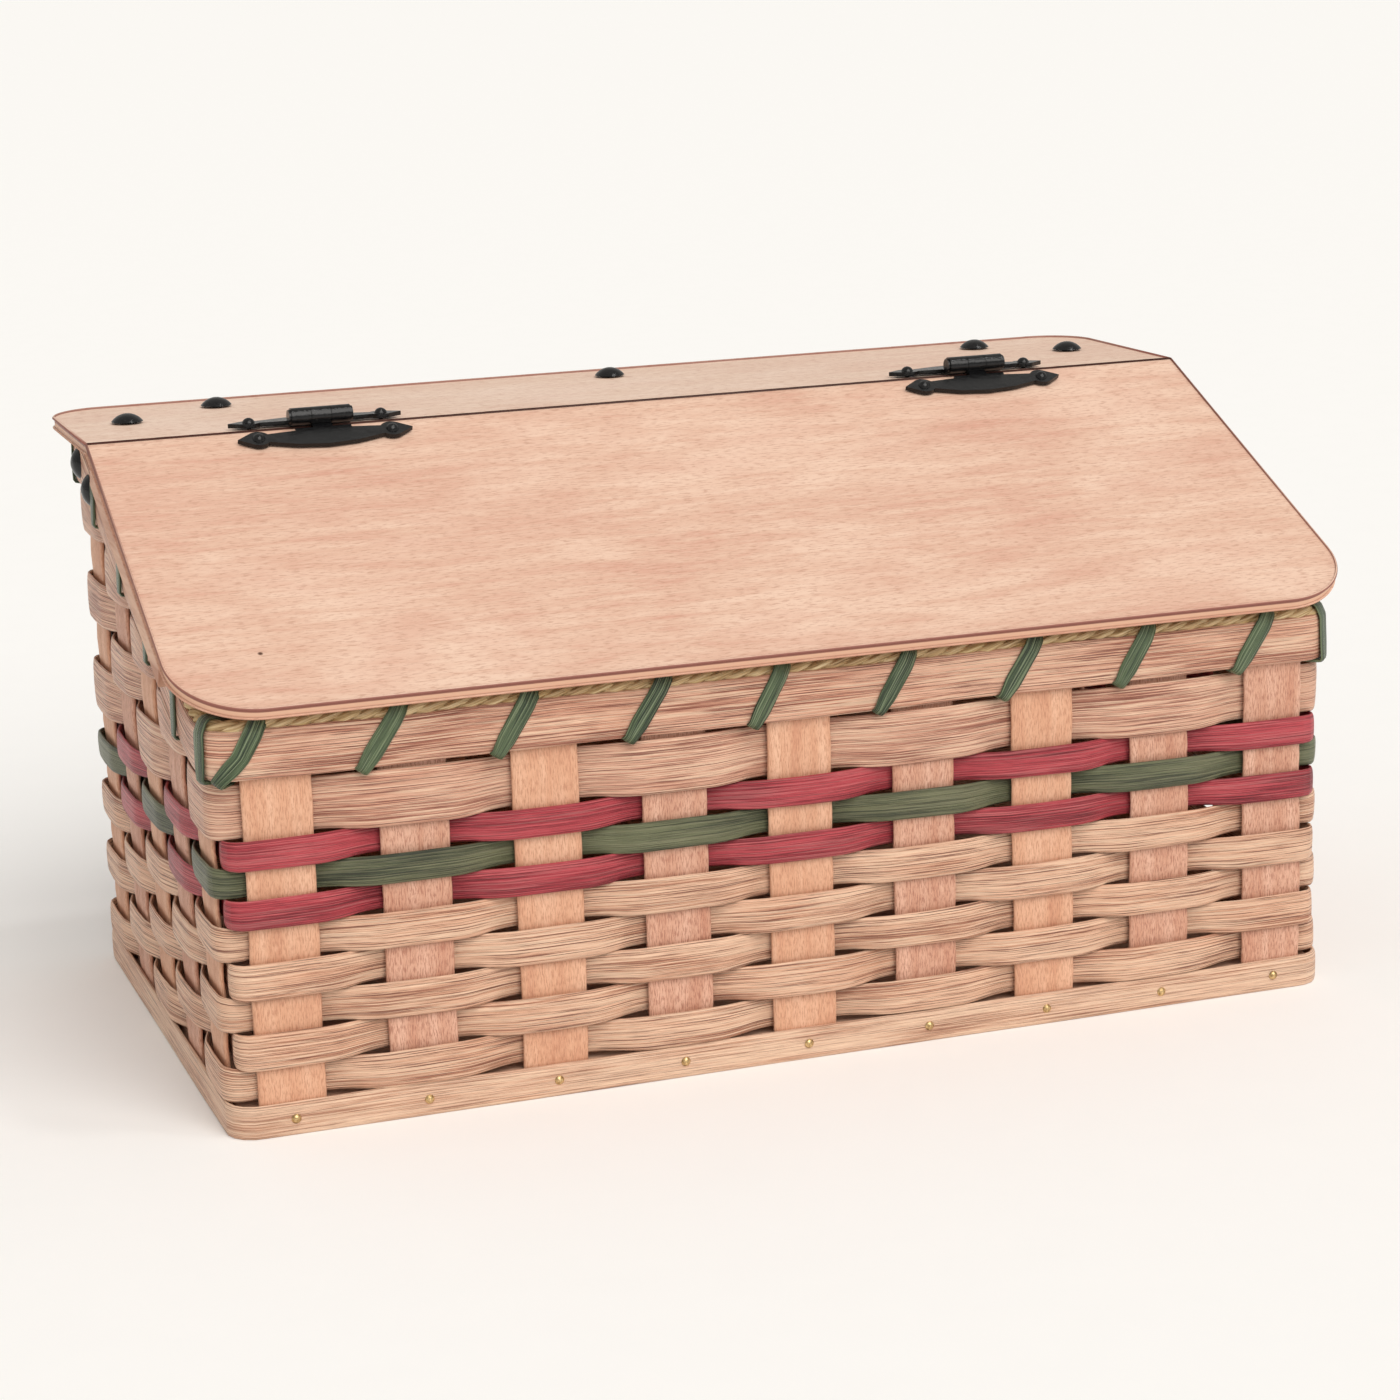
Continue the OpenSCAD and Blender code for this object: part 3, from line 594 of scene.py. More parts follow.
@dataclass
class Wall:
    """The wall's middle line, a rounded rectangle walked from the front's left end to the right."""

    corner_r: float = 7.5 * MM
    half_l: float = field(init=False)
    half_d: float = field(init=False)
    upright_w: float = field(init=False)
    marks: np.ndarray = field(init=False)

    def __post_init__(self) -> None:
        """Reads the wall's size and the uprights' places from the solids."""
        fronts = [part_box(f"front_upright_{i + 1}") for i in range(LONG_SPLINTS)]
        ends = [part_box(f"right_upright_{i + 1}") for i in range(END_SPLINTS)]
        self.half_l = (ends[0][0].x + ends[0][1].x) / 2
        self.half_d = -(fronts[0][0].y + fronts[0][1].y) / 2
        self.upright_w = fronts[0][1].x - fronts[0][0].x
        straight_l, straight_d = self.straights()
        turn = self.corner_r * math.pi / 2
        half_way = straight_l + straight_d + 2 * turn
        starts = [0, straight_l + turn, half_way, half_way + straight_l + turn]
        x_run = [(low.x + high.x) / 2 + straight_l / 2 for low, high in fronts]
        y_run = [(low.y + high.y) / 2 + straight_d / 2 for low, high in ends]
        sides = zip(starts, (x_run, y_run, x_run, y_run))
        self.marks = np.array([start + run for start, runs in sides for run in runs])

    def straights(self) -> Tuple[float, float]:
        """Lengths of a long side and an end between their corners."""
        return 2 * (self.half_l - self.corner_r), 2 * (self.half_d - self.corner_r)

    def length(self) -> float:
        """Length of the whole middle line."""
        return 2 * sum(self.straights()) + 2 * math.pi * self.corner_r

    def at(self, along: np.ndarray) -> Tuple[np.ndarray, np.ndarray]:
        """Finds places on the middle line.

        Args:
            along: distances round the wall, in metres.

        Returns:
            The places and the outward directions, both flat.
        """
        straight_l, straight_d = self.straights()
        turn = self.corner_r * math.pi / 2
        place_at = np.zeros((len(along), 3))
        out = np.zeros((len(along), 3))
        start = 0.0
        along = np.mod(along, self.length())
        for k, straight in enumerate((straight_l, straight_d, straight_l, straight_d)):
            heading = k * math.pi / 2
            way = np.array([math.cos(heading), math.sin(heading), 0])
            outward = np.array([math.sin(heading), -math.cos(heading), 0])
            reach = self.half_d if k % 2 == 0 else self.half_l
            run = along - start
            here = (run >= 0) & (run < straight)
            place_at[here] = outward * reach + way * (run[here, None] - straight / 2)
            out[here] = outward
            bend = (run >= straight) & (run < straight + turn)
            angle = (run[bend, None] - straight) / self.corner_r
            centre = outward * (reach - self.corner_r) + way * straight / 2
            out[bend] = outward * np.cos(angle) + way * np.sin(angle)
            place_at[bend] = centre + out[bend] * self.corner_r
            start += straight + turn
        return place_at, out

    def swing(self, along: np.ndarray, row: int) -> np.ndarray:
        """Where a woven row stands at each place: 1 outside the uprights, -1 inside.

        Args:
            along: distances round the wall, in metres.
            row: the row's number; neighbours go opposite ways.

        Returns:
            One number for each place, changing smoothly in the gaps.
        """
        signs = np.where((np.arange(len(self.marks)) + row) % 2 == 0, 1.0, -1.0)
        half = self.upright_w / 2
        keys = np.stack([self.marks - half, self.marks + half], 1).ravel()
        held = np.repeat(signs, 2)
        keys = np.concatenate([keys[-2:] - self.length(), keys, keys[:2] + self.length()])
        held = np.concatenate([held[-2:], held, held[:2]])
        return np.sin(np.interp(np.mod(along, self.length()), keys, held) * math.pi / 2)

    def nearness(self, along: np.ndarray) -> np.ndarray:
        """How near each place is to an upright's middle: 1 there, 0 in the middle of a gap."""
        gap = np.abs(np.mod(along, self.length())[:, None] - self.marks[None])
        gap = np.minimum(gap, self.length() - gap).min(1)
        return np.clip(1 - gap / self.upright_w, 0, 1)


@dataclass
class RimLine:
    """The rim's lower edge: level along the front, climbing along the ends, level at the back."""

    band_h: float = 17 * MM
    climb_front: float = 88 * MM
    climb_back: float = 100 * MM
    easing: float = 9 * MM
    low: float = field(init=False)
    high: float = field(init=False)

    def __post_init__(self) -> None:
        """Reads the two levels from the outer band."""
        bottom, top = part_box("rim_outer")
        self.low = bottom.z
        self.high = top.z - self.band_h

    def sharp(self, y: np.ndarray) -> np.ndarray:
        """Height of the edge as drawn, with a corner at each end of the climb."""
        climbed = np.clip(y, -self.climb_front, self.climb_back) + self.climb_front
        return self.low + climbed / (self.climb_front + self.climb_back) * (self.high - self.low)

    def at(self, y: np.ndarray) -> np.ndarray:
        """Height of the edge with its corners eased, as a bent splint has them."""
        return sum(self.sharp(y + self.easing * k) for k in (-1, -0.5, 0, 0.5, 1)) / 5


# ---- sub-assemblies ----


@dataclass
class Weave:
    """The woven rows."""

    wall: Wall
    rim: RimLine
    full_rows: int = 9
    swing: float = 2.05 * MM
    belly: float = 0.8 * MM
    swell: float = 0.45 * MM
    cross_swell: float = 0.2 * MM
    edge_wander: float = 0.22 * MM
    thickness: float = 1.8 * MM
    thickness_spread: float = 0.12
    depth_wander: float = 0.16 * MM
    tilt: float = 0.05
    belly_power: float = 0.7
    step: float = 2.4 * MM
    rim_gap: float = 1.0 * MM
    shortest: float = 1.2 * MM
    grain_apart: float = 4.3

    def finish(self, row: int) -> SplintFinish:
        """Which finish a row has."""
        if row in (6, 8):
            return RED
        if row == 7:
            return GREEN
        return NATURAL if row < 6 else WIDE

    def stations(self, row: int) -> Tuple[np.ndarray, bool]:
        """Places along a row, all round for a full row and between its two ends for an upper one.

        Args:
            row: the row's number.

        Returns:
            Distances round the wall, and whether the row closes on itself.
        """
        length = self.wall.length()
        if row <= self.full_rows:
            hidden = self.wall.marks[BACK_MIDDLE if row % 2 else BACK_MIDDLE + 1]
            return hidden + np.arange(0, length, length / round(length / self.step)), True
        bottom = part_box(f"weaver_row_{row}")[0].z
        along = np.linspace(0, length, round(length / self.step))
        spots, _ = self.wall.at(along)
        room = self.rim.at(spots[:, 1]) - self.rim_gap - bottom
        tall = np.flatnonzero(room > self.shortest)
        return along[tall[0]:tall[-1] + 1], False

    def strand(self, row: int) -> Object:
        """Makes one row.

        Args:
            row: the row's number, counted up from the base.

        Returns:
            The strand, over and under the uprights.
        """
        low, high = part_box(f"weaver_row_{row}")
        along, closed = self.stations(row)
        spots, out = self.wall.at(along)
        loop = self.wall.length()
        side = self.wall.swing(along, row)
        belly = self.wall.nearness(along) ** self.belly_power * side * self.belly
        wander = smooth_noise(along, 30 * MM, 100 + row, loop) * self.depth_wander
        offset = side * self.swing + belly + wander
        swell = np.maximum(side, -0.2) * self.swell + (1 - np.abs(side)) * self.cross_swell
        bottom = low.z + smooth_noise(along, 26 * MM, 200 + row, loop) * self.edge_wander - swell
        top = high.z + smooth_noise(along, 22 * MM, 300 + row, loop) * self.edge_wander + swell
        if not closed:
            top = np.minimum(top, self.rim.at(spots[:, 1]) - self.rim_gap)
        top = np.maximum(top, bottom + self.shortest / 2)
        lean = smooth_noise(along, 35 * MM, 400 + row, loop) * self.tilt
        centre = spots + out * offset[:, None]
        centre[:, 2] = (bottom + top) / 2
        across = np.tile([0.0, 0.0, 1.0], (len(along), 1)) + out * lean[:, None]
        uneven = self.thickness_spread * smooth_noise(along, 18 * MM, 500 + row, loop)
        thickness = self.thickness * (1 + uneven)
        sweep = Sweep(f"strand_{row:02d}", centre, across, out, top - bottom, thickness,
                      oval_section(sides=9, squareness=2.5), closed, grain_start=self.grain_apart * row)
        return sweep.build()

    def build(self) -> None:
        """Makes and dresses every row."""
        made = {}
        for row in range(1, ROWS + 1):
            finish = self.finish(row)
            if finish.name not in made:
                made[finish.name] = finish.build()
            place(self.strand(row), Body.BASKET, finish.slot, made[finish.name], f"weaver_row_{row}")


@dataclass
class Uprights:
    """The splints that the rows are woven round."""

    wall: Wall
    rim: RimLine
    thickness: float = 1.9 * MM
    step: float = 3 * MM
    sway: float = 0.45 * MM
    drift: float = 0.4 * MM
    width_wander: float = 0.5 * MM
    lift: float = 0.3 * MM
    grain_apart: float = 7.1
    below_rim_top: float = 0.8 * MM
    still_top: float = 2 * MM
    still_foot: float = 12 * MM
    easing: float = 6 * MM
    rosy: Tuple[int, ...] = (1, 3, 5, 7, 8, 10, 13, 15, 16, 18, 21, 24, 26)
    row_levels: np.ndarray = field(init=False)

    def __post_init__(self) -> None:
        """Reads the rows' middle heights, which the uprights bend round."""
        boxes = [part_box(f"weaver_row_{row}") for row in range(1, ROWS + 1)]
        self.row_levels = np.array([(low.z + high.z) / 2 for low, high in boxes])

    def upright(self, number: int, name: str) -> Object:
        """Makes one upright.

        Args:
            number: its place round the basket, from 0.
            name: the piece's name.

        Returns:
            The splint, swaying away from each row that crosses it.
        """
        spot, out = self.wall.at(self.wall.marks[number:number + 1])
        way = np.cross([0, 0, 1.0], out[0])
        top = float(self.rim.sharp(spot[:, 1] - abs(way[1]) * self.wall.upright_w / 2)[0]) + self.rim.band_h
        height = np.arange(self.lift, top - self.below_rim_top, self.step)
        signs = np.where((number + np.arange(1, ROWS + 1)) % 2 == 0, -1.0, 1.0)
        levels = np.concatenate([[0], self.row_levels, [top]])
        lean = np.interp(height, levels, np.concatenate([[0], signs, [0]])) * self.sway
        under_rim = (self.rim.at(spot[:, 1])[0] - self.still_top - height) / self.easing
        over_base = (height - self.still_foot) / self.easing
        calm = np.clip(under_rim, 0, 1) * np.clip(over_base, 0, 1)
        drift = smooth_noise(height, 40 * MM, 600 + number) * self.drift
        centre = spot + out * (lean * calm)[:, None] + way * drift[:, None]
        centre[:, 2] = height
        width = self.wall.upright_w + smooth_noise(height, 30 * MM, 700 + number) * self.width_wander
        count = len(height)
        sweep = Sweep(name, centre, np.tile(way, (count, 1)), np.tile(out[0], (count, 1)), width,
                      np.full(count, self.thickness), oval_section(sides=8, squareness=5), False,
                      grain_start=self.grain_apart * number)
        return sweep.build()

    def build(self) -> None:
        """Makes and dresses every upright, those of the back as well."""
        warm, rosy = WARM_UPRIGHT.build(), ROSY_UPRIGHT.build()
        sides = {"front": LONG_SPLINTS, "right": END_SPLINTS, "back": LONG_SPLINTS, "left": END_SPLINTS}
        names = [f"{side}_upright_{i + 1}" for side, count in sides.items() for i in range(count)]
        for number, name in enumerate(names):
            node = "back_uprights" if name.startswith("back") else name
            material = rosy if number in self.rosy else warm
            place(self.upright(number, f"splint_{name}"), Body.BASKET, WARM_UPRIGHT.slot, material, node)


@dataclass
class Base:
    """The board, the band round the foot and its tacks."""

    wall: Wall
    band_t: float = 2.0 * MM
    face_wander: float = 0.15 * MM
    edge_wander: float = 0.3 * MM
    step: float = 3 * MM

    def band(self) -> Object:
        """Makes the band, slightly crowned, with soft edges."""
        low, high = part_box("base_band")
        loop = self.wall.length()
        along = self.wall.marks[BACK_MIDDLE] + np.arange(0, loop, loop / round(loop / self.step))
        spots, out = self.wall.at(along)
        offset = high.x - self.wall.half_l - self.band_t / 2
        centre = spots + out * (offset + smooth_noise(along, 60 * MM, 11, loop) * self.face_wander)[:, None]
        bottom = np.full(len(along), low.z)
        top = high.z + smooth_noise(along, 50 * MM, 12, loop) * self.edge_wander
        centre[:, 2] = (bottom + top) / 2
        up = np.tile([0.0, 0.0, 1.0], (len(along), 1))
        sweep = Sweep("foot_band", centre, up, out, top - bottom, np.full(len(along), self.band_t),
                      oval_section(sides=9, squareness=4), True, grain_start=90.0)
        return sweep.build()

    def build(self) -> None:
        """Makes the band and dresses the board and the tacks."""
        place(self.band(), Body.BASKET, FOOT.slot, FOOT.build(), "base_band")
        dress("base_board", BareBoardFinish("base_wood").build(), 0.6 * MM)
        dress("base_tacks", BrassFinish().build())


@dataclass
class Rim:
    """The two rim bands, the twisted filler on them and the lashing round them all."""

    wall: Wall
    rim: RimLine
    outer_t: float = 3.2 * MM
    inner_t: float = 3.0 * MM
    step: float = 3 * MM
    rope_r: float = 2.75 * MM
    ply_r: float = 1.65 * MM
    ply_pitch: float = 22 * MM
    ply_swell: float = 0.16
    ply_spread: float = 1.25
    ply_flatness: float = 1.12
    face_wander: float = 0.12 * MM
    foot_wander: float = 0.3 * MM
    top_wander: float = 0.45 * MM
    lash_w: float = 6.6 * MM
    lash_t: float = 1.2 * MM
    lash_play: float = 0.15 * MM
    lean: float = math.radians(33)
    foot: float = 17.5 * MM
    corner_turn: float = 68 / 90
    second_turn: float = 40 / 90
    first_in: float = 0.9 * MM
    end_shift: float = 1 * MM
    lean_spread: float = math.radians(2.5)
    foot_spread: float = 1 * MM
    tucked: float = 0.72
    tuck_h: float = 5 * MM
    width_spread: float = 0.07
    sunk: float = 1.9 * MM
    grip: float = 1.05 * MM

    def round_line(self, step: float) -> Tuple[np.ndarray, np.ndarray, np.ndarray]:
        """Evenly spaced places round the rim.

        Args:
            step: their spacing, in metres.

        Returns:
            Distances round the wall, places at the band's lower edge, and outward directions.
        """
        loop = self.wall.length()
        along = self.wall.marks[BACK_MIDDLE] - self.foot + np.arange(0, loop, loop / round(loop / step))
        spots, out = self.wall.at(along)
        spots[:, 2] = self.rim.at(spots[:, 1])
        return along, spots, out

    def band(self, name: str, way: int, thickness: float) -> Object:
        """Makes one band.

        Args:
            name: the piece's name.
            way: 1 for the outer band, -1 for the inner one.
            thickness: its thickness, in metres.

        Returns:
            The band, round-faced like half-round reed.
        """
        along, spots, out = self.round_line(self.step)
        loop = self.wall.length()
        seed = 20 + way
        offset = way * (self.grip + thickness / 2)
        centre = spots + out * (offset + smooth_noise(along, 40 * MM, seed, loop) * self.face_wander)[:, None]
        bottom = smooth_noise(along, 34 * MM, seed + 10, loop) * self.foot_wander
        top = self.rim.band_h + smooth_noise(along, 28 * MM, seed + 20, loop) * self.top_wander
        centre[:, 2] += (bottom + top) / 2
        up = np.tile([0.0, 0.0, 1.0], (len(along), 1))
        sweep = Sweep(name, centre, up, out, top - bottom, np.full(len(along), thickness),
                      oval_section(sides=10, squareness=3.2), True, grain_start=110.0 + 9 * way)
        return sweep.build()

    def ply(self, number: int) -> Object:
        """Makes one of the three twisted plies of the filler."""
        along, spots, out = self.round_line(1.6 * MM)
        loop = self.wall.length()
        turns = round(loop / self.ply_pitch)
        angle = 2 * math.pi * (turns * along / loop + number / 3)
        fat = 1 + self.ply_swell * smooth_noise(along, 9 * MM, 50 + number, loop)
        reach = self.rope_r - self.ply_r
        up = np.tile([0.0, 0.0, 1.0], (len(along), 1))
        centre = spots + up * (self.rim.band_h + self.rope_r - self.sunk)
        centre += out * (np.cos(angle) * reach * self.ply_spread)[:, None]
        centre += up * (np.sin(angle) * reach)[:, None]
        size = 2 * self.ply_r * fat
        sweep = Sweep(f"filler_ply_{number + 1}", centre, up, out, size, size * self.ply_flatness,
                      oval_section(sides=5, squareness=2.0), True, grain_start=130.0 + 5 * number)
        return sweep.build()

    def loop_outline(self) -> np.ndarray:
        """Outline of one turn of lashing: out from the wall, then up from the band's lower edge.

        Returns:
            Evenly spaced pairs, in metres, round the bands and over the filler.
        """
        clear = self.lash_play + self.lash_t / 2
        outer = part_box("rim_outer")[1].x - self.wall.half_l
        inner = -(self.inner_t + self.grip)
        top = self.rim.band_h
        corner = 0.5 * MM
        discs = [(outer - corner, corner, corner),
                 (inner + corner, corner, corner),
                 (outer - 2 * corner, top - 2 * corner, corner),
                 (inner + 2 * corner, top - 2 * corner, corner),
                 (0.0, top + self.rope_r - self.sunk, self.rope_r)]
        turn = np.linspace(0, 2 * math.pi, 40, endpoint=False)
        circle = np.stack([np.cos(turn), np.sin(turn)], 1)
        hull = convex_hull(np.concatenate([(r + clear) * circle + [x, z] for x, z, r in discs]))
        ring = np.concatenate([hull, hull[:1]])
        steps = np.concatenate([[0], np.cumsum(np.linalg.norm(np.diff(ring, axis=0), axis=1))])
        even = np.linspace(0, steps[-1], round(steps[-1] / (1.1 * MM)), endpoint=False)
        return np.stack([np.interp(even, steps, ring[:, k]) for k in (0, 1)], 1)

    def turn(self, number: int, start: float, lean: float) -> Object:
        """Makes one turn of lashing.

        Args:
            number: its place round the basket, which also picks its small differences.
            start: distance round the wall of its foot, at the band's lower edge.
            lean: how far it leans along the wall, in radians.

        Returns:
            A closed strip round the rim, bent with the wall where it leans round a corner.
        """
        pairs = self.loop_outline()
        own = np.random.default_rng(800 + number)
        lean += own.uniform(-1, 1) * self.lean_spread
        start += own.uniform(-1, 1) * self.foot_spread
        spots, out = self.wall.at(start + pairs[:, 1] * math.tan(lean))
        up = np.array([0, 0, 1.0])
        way = np.cross(up, out)
        before, after = np.roll(pairs, 1, 0), np.roll(pairs, -1, 0)
        way_on = after - before
        normal = np.stack([way_on[:, 1], -way_on[:, 0]], 1)
        normal /= np.linalg.norm(normal, axis=1)[:, None]
        rise = way * math.sin(lean) + up * math.cos(lean)
        across = way * math.cos(lean) - up * math.sin(lean)
        centre = spots + pairs[:, :1] * out
        centre[:, 2] = self.rim.at(centre[:, 1]) + pairs[:, 1]
        outward = normal[:, :1] * out + normal[:, 1:] * rise
        count = len(pairs)
        tuck = np.clip(pairs[:, 1] / self.tuck_h, 0, 1)
        width = self.lash_w * (self.tucked + (1 - self.tucked) * tuck)
        width *= 1 + self.width_spread * smooth_noise(np.arange(count) * 1.0, 7.0, 900 + number, float(count))
        sweep = Sweep(f"lashing_turn_{number:02d}", centre, across, outward, width,
                      np.full(count, self.lash_t), oval_section(sides=7, squareness=2.7), True,
                      grain_start=150.0 + 1.7 * number)
        return sweep.build()

    def turns(self) -> list:
        """Places of the turns of lashing.

        Returns:
            For each turn: distance round the wall and lean.
        """
        marks = self.wall.marks
        back_start = LONG_SPLINTS + END_SPLINTS
        found = [(marks[0] - self.foot + self.first_in, self.lean)]
        found += [(mark - self.foot, self.lean) for mark in marks[1:LONG_SPLINTS]]
        found += [(mark - self.foot, self.lean) for mark in marks[back_start + 1:back_start + LONG_SPLINTS]]
        for first, shift in ((LONG_SPLINTS, -self.end_shift), (back_start + LONG_SPLINTS, self.end_shift)):
            gaps = range(first, first + END_SPLINTS - 1)
            found += [((marks[k] + marks[k + 1]) / 2 + shift, 0.0) for k in gaps]
        straight_l, straight_d = self.wall.straights()
        arc = self.wall.corner_r * math.pi / 2
        bend = arc * self.corner_turn
        rear = straight_l + straight_d + 2 * arc - bend
        corners = [straight_l + arc * self.second_turn, straight_l + bend, rear,
                   rear + straight_l + 2 * bend, self.wall.length() - bend]
        return found + [(corner, 0.0) for corner in corners]

    def build(self) -> None:
        """Makes and dresses the rim."""
        splint = RIM.build()
        place(self.band("rim_band_outer", 1, self.outer_t), Body.BASKET, RIM.slot, splint, "rim_outer")
        place(self.band("rim_band_inner", -1, self.inner_t), Body.BASKET, RIM.slot, splint, "rim_inner")
        grass = SeagrassFinish()
        cord = grass.build()
        for number in range(3):
            place(self.ply(number), Body.BASKET, grass.slot, cord, "rim_filler")
        green = LASHING.build()
        for number, (along, lean) in enumerate(self.turns(), 1):
            place(self.turn(number, along, lean), Body.BASKET, LASHING.slot, green, "rim_lashing")


def convex_hull(points: np.ndarray) -> np.ndarray:
    """Outermost points of a flat cloud, anticlockwise.

    Args:
        points: pairs.

    Returns:
        The pairs on the hull.
    """
    ordered = sorted(map(tuple, points))

    def half(items: Iterable[Tuple[float, float]]) -> list:
        """One side of the hull."""
        chain: list = []
        for p in items:
            while len(chain) > 1:
                (ax, ay), (bx, by) = chain[-2], chain[-1]
                if (bx - ax) * (p[1] - ay) - (by - ay) * (p[0] - ax) > 0:
                    break
                chain.pop()
            chain.append(p)
        return chain[:-1]

    return np.array(half(ordered) + half(reversed(ordered)))


@dataclass
class Board:
    """A thin board with two round corners, its upper face at zero height in its own frame."""

    name: str
    half_l: float
    depth: float
    thickness: float
    corner_r: float
    arris: float = 0.8 * MM
    joint_arris: float = 0.15 * MM

    def outline(self, inset: float) -> np.ndarray:
        """Outline with its straight edge along X at zero, running away to -Y.

        Args:
            inset: how far inside the board's edge it lies.

        Returns:
            Pairs, anticlockwise.
        """
        reach, far, r = self.half_l - inset, self.depth - inset, self.corner_r - inset
        joint = min(inset, self.joint_arris)
        angles = np.radians(np.linspace(180, 270, 25))
        left = np.stack([-reach + r + r * np.cos(angles), -far + r + r * np.sin(angles)], 1)
        right = left[::-1] * [-1, 1]
        return np.concatenate([[[-reach, -joint]], left, right, [[reach, -joint]]])

    def build(self) -> Object:
        """Makes the board with rounded arrises."""
        angles = np.radians(np.linspace(0, 90, 5))
        r = self.arris
        upper = [(r * (1 - math.sin(a)), -r * (1 - math.cos(a))) for a in angles[::-1]]
        lower = [(inset, -self.thickness - drop) for inset, drop in reversed(upper)]
        rings = []
        for inset, height in upper + lower:
            ring = self.outline(inset)
            rings.append(np.column_stack([ring, np.full(len(ring), height)]))
        count = len(rings[0])
        faces = [list(range(count))]
        for k in range(len(rings) - 1):
            for j in range(count):
                a, b = k * count + j, k * count + (j + 1) % count
                faces.append([b, a, a + count, b + count])
        faces.append([(len(rings) - 1) * count + j for j in range(count - 1, -1, -1)])
        board = mesh_object(self.name, np.concatenate(rings), faces)
        board.data.polygons[0].use_smooth = False
        board.data.polygons[len(faces) - 1].use_smooth = False
        return board


@dataclass
class Boards:
    """The lid, the back plank, and the wood under them."""

    lid_slope: float = field(init=False)
    thickness: float = 5 * MM
    gap: float = 0.6 * MM
    joint_fill: float = 0.15 * MM
    lid_corner: float = 30 * MM
    plank_corner: float = 21 * MM

    def __post_init__(self) -> None:
        """Reads the hinge line and the lid's slope from the solids."""
        self.plank_low, self.plank_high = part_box("back_plank")
        self.lid_low, self.lid_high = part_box("lid_board")
        self.hinge_y = self.plank_low.y - self.gap / 2
        self.hinge_z = self.plank_high.z
        self.lid_slope = self.slope()

    def slope(self) -> float:
        """The lid's slope, from its box, whose lowest corner is on the board's under face."""
        run = self.hinge_y - self.lid_low.y
        drop = self.hinge_z - self.lid_low.z
        return math.atan2(drop, run) - math.asin(self.thickness / math.hypot(run, drop))

    def build(self) -> None:
        """Makes the two boards and dresses the wood under them."""
        wood = BoardFinish()
        paler = BoardFinish("plank_wood", light=(0.88, 0.675, 0.55), body=(0.82, 0.60, 0.47),
                            rose=(0.76, 0.50, 0.39))
        run = self.hinge_y - self.lid_low.y
        length = run / math.cos(self.lid_slope)
        half = self.lid_high.x
        lid = Board("lid_panel", half, length, self.thickness, self.lid_corner).build()
        lid_top = (0, self.hinge_y - self.gap / 2 + self.joint_fill, self.hinge_z)
        lid.matrix_world = Matrix.Translation(lid_top) @ Matrix.Rotation(self.lid_slope, 4, "X")
        place(lid, Body.LID, wood.slot, wood.build(), "lid_board")
        depth = self.plank_high.y - self.plank_low.y
        depth += self.joint_fill
        plank = Board("back_plank_panel", half, depth, self.thickness, self.plank_corner).build()
        plank_top = (0, self.plank_low.y - self.joint_fill, self.hinge_z)
        plank.matrix_world = Matrix.Translation(plank_top) @ Matrix.Rotation(math.pi, 4, "Z")
        place(plank, Body.BASKET, paler.slot, paler.build(), "back_plank")
        across = BareBoardFinish("cleat_wood").build()
        along = BareBoardFinish("batten_wood", run=(90, 8, 90)).build()
        dress("back_cleat", across, 0.8 * MM)
        for side in ("left", "right"):
            dress(f"{side}_cleat", along, 0.8 * MM)
            dress(f"{side}_batten", along, 1.0 * MM)


@dataclass
class Ironware:
    """The hinges with their nails and pins, and the dome screws."""

    edge: float = 0.3 * MM

    def build(self) -> None:
        """Dresses every iron piece."""
        iron = IronFinish().build()
        for side in ("left", "right"):
            dress(f"{side}_plank_leaf", iron, self.edge)
            dress(f"{side}_lid_leaf", iron, self.edge)
        for node in ("hinge_pins", "plank_leaf_nails", "lid_leaf_nails", "dome_screws"):
            dress(node, iron)


@dataclass(frozen=True)
class FarLight:
    """A far light: its width from the basket in degrees, irradiance, direction and tint."""

    name: str
    spread: float
    strength: float
    toward: Tuple[float, float, float]
    colour: Colour

    def build(self) -> None:
        """Hangs the light."""
        lamp = bpy.data.lights.new(self.name, "SUN")
        lamp.angle = math.radians(self.spread)
        lamp.energy = self.strength
        lamp.color = self.colour
        holder = bpy.data.objects.new(self.name, lamp)
        holder.rotation_euler = Vector(self.toward).to_track_quat("Z", "Y").to_euler()
        bpy.context.scene.collection.objects.link(holder)


KEY_LIGHT = FarLight("key_light", 50, 1.95, (0.15, -1.0, 0.95), (1.0, 0.975, 0.935))
GLINT_LIGHT = FarLight("glint_light", 5, 0.20, (0.35, -0.25, 1.0), (1.0, 0.99, 0.97))


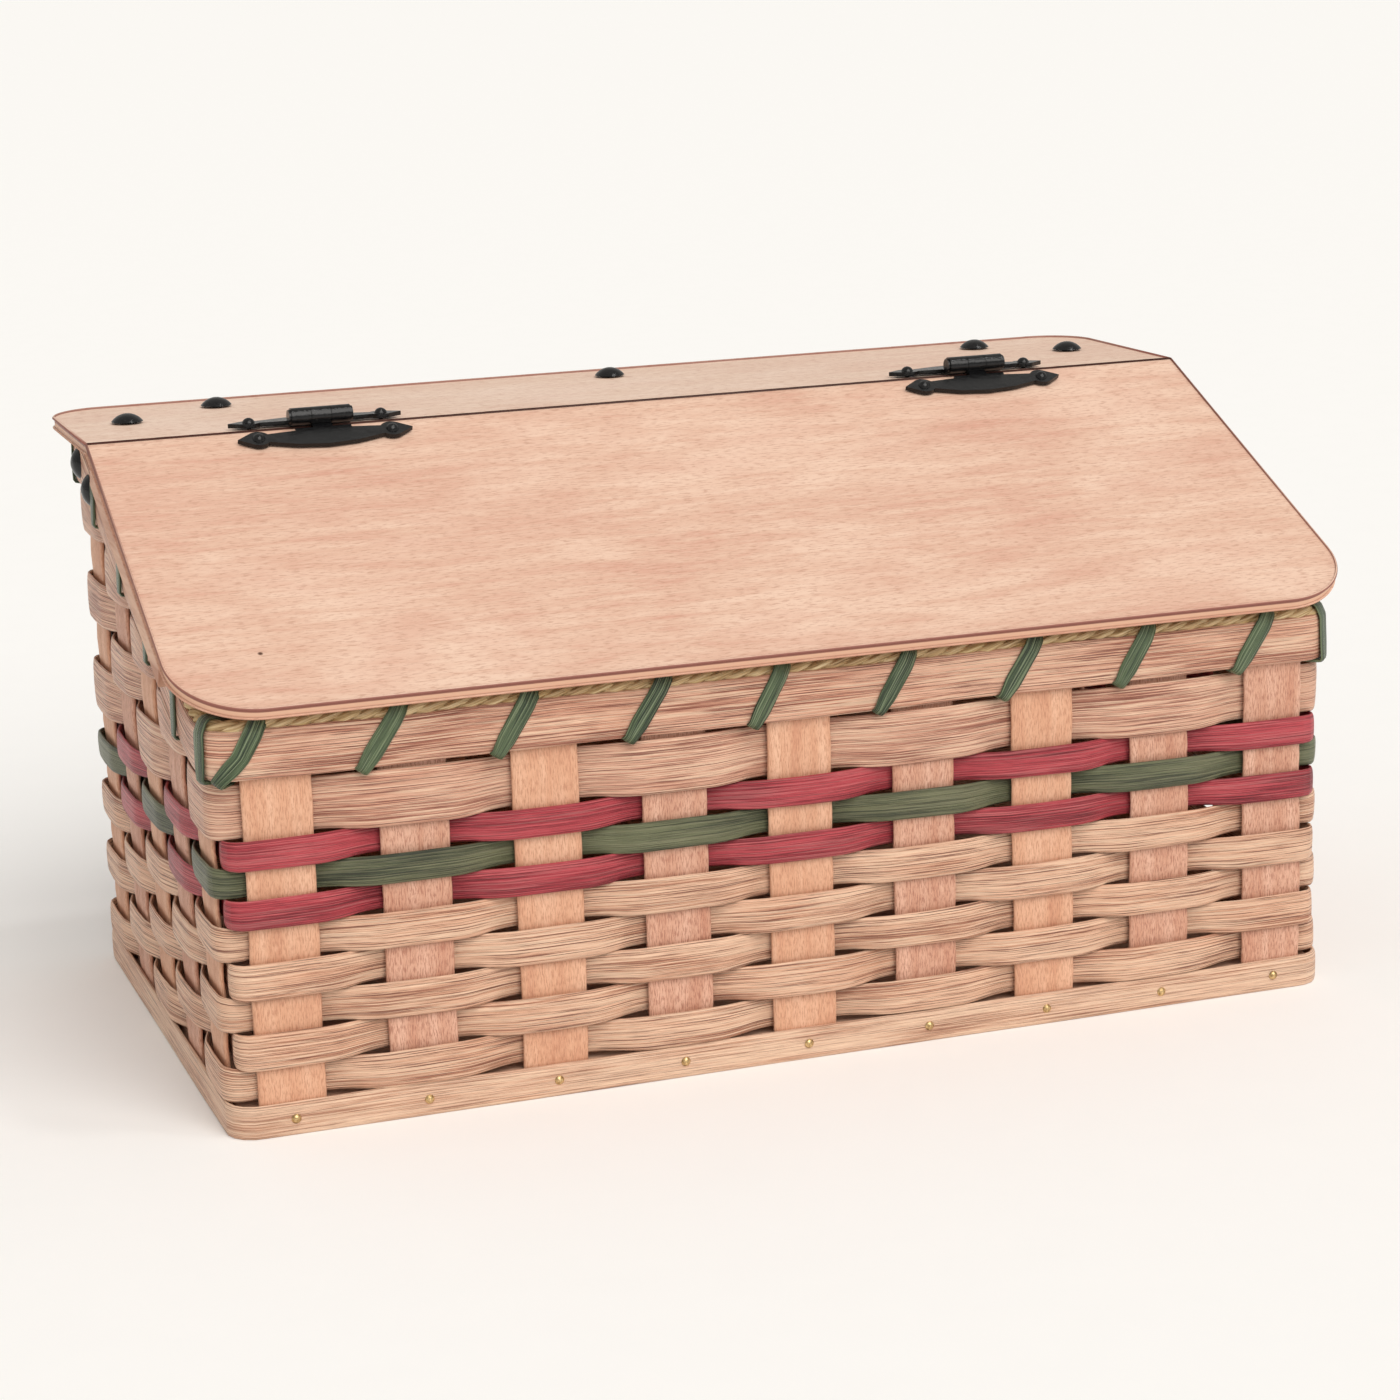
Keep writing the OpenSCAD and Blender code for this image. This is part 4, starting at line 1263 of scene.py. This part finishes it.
@dataclass
class Studio:
    """The floor, the soft light and the camera."""

    lens: float = 86.3
    eye: Tuple[float, float, float] = (-0.4105, -1.1858, 0.4021)
    yaw: float = math.radians(19.27)
    pitch: float = math.radians(13.23)
    roll: float = math.radians(-1.72)
    floor_half: float = 80.0
    room_tint: Colour = (1.0, 0.972, 0.925)
    room_strength: float = 0.53
    sensor: float = 36.0

    def floor(self) -> None:
        """Lays the floor, flat and wide enough to reach past the view."""
        bottom, far = CAD_BOUNDS[0][2], self.floor_half
        corners = [(-far, -far, bottom), (far, -far, bottom), (far, far, bottom), (-far, far, bottom)]
        floor = mesh_object("studio_floor", np.array(corners), [[0, 1, 2, 3]])
        floor.data.materials.append(FloorFinish().build())

    def world(self) -> None:
        """Fills the room with even, slightly warm light."""
        world = bpy.data.worlds.new("studio_room")
        world.use_nodes = True
        back = world.node_tree.nodes["Background"]
        back.inputs["Color"].default_value = (*self.room_tint, 1)
        back.inputs["Strength"].default_value = self.room_strength
        bpy.context.scene.world = world

    def camera(self) -> None:
        """Sets the camera."""
        flat = math.cos(self.pitch)
        forward = Vector((math.sin(self.yaw) * flat, math.cos(self.yaw) * flat, -math.sin(self.pitch)))
        level = Vector((math.cos(self.yaw), -math.sin(self.yaw), 0))
        rise = level.cross(forward)
        right = level * math.cos(self.roll) + rise * math.sin(self.roll)
        up = rise * math.cos(self.roll) - level * math.sin(self.roll)
        data = bpy.data.cameras.new("studio_camera")
        data.lens = self.lens
        data.sensor_width = self.sensor
        holder = bpy.data.objects.new("studio_camera", data)
        turn = Matrix((right, up, -forward)).transposed().to_4x4()
        holder.matrix_world = Matrix.Translation(self.eye) @ turn
        bpy.context.scene.collection.objects.link(holder)
        bpy.context.scene.camera = holder

    def build(self) -> None:
        """Sets up the whole studio."""
        self.camera()
        self.floor()
        self.world()
        KEY_LIGHT.build()
        GLINT_LIGHT.build()
        bpy.context.scene.view_settings.view_transform = "Standard"


def main() -> None:
    """Builds the studio and every part of the basket, in order."""
    logging.basicConfig(level=logging.INFO, format="%(name)s: %(message)s")
    Studio().build()
    wall = Wall()
    rim = RimLine()
    Base(wall).build()
    Uprights(wall, rim).build()
    Weave(wall, rim).build()
    Rim(wall, rim).build()
    Boards().build()
    Ironware().build()


if __name__ == "__main__":
    main()
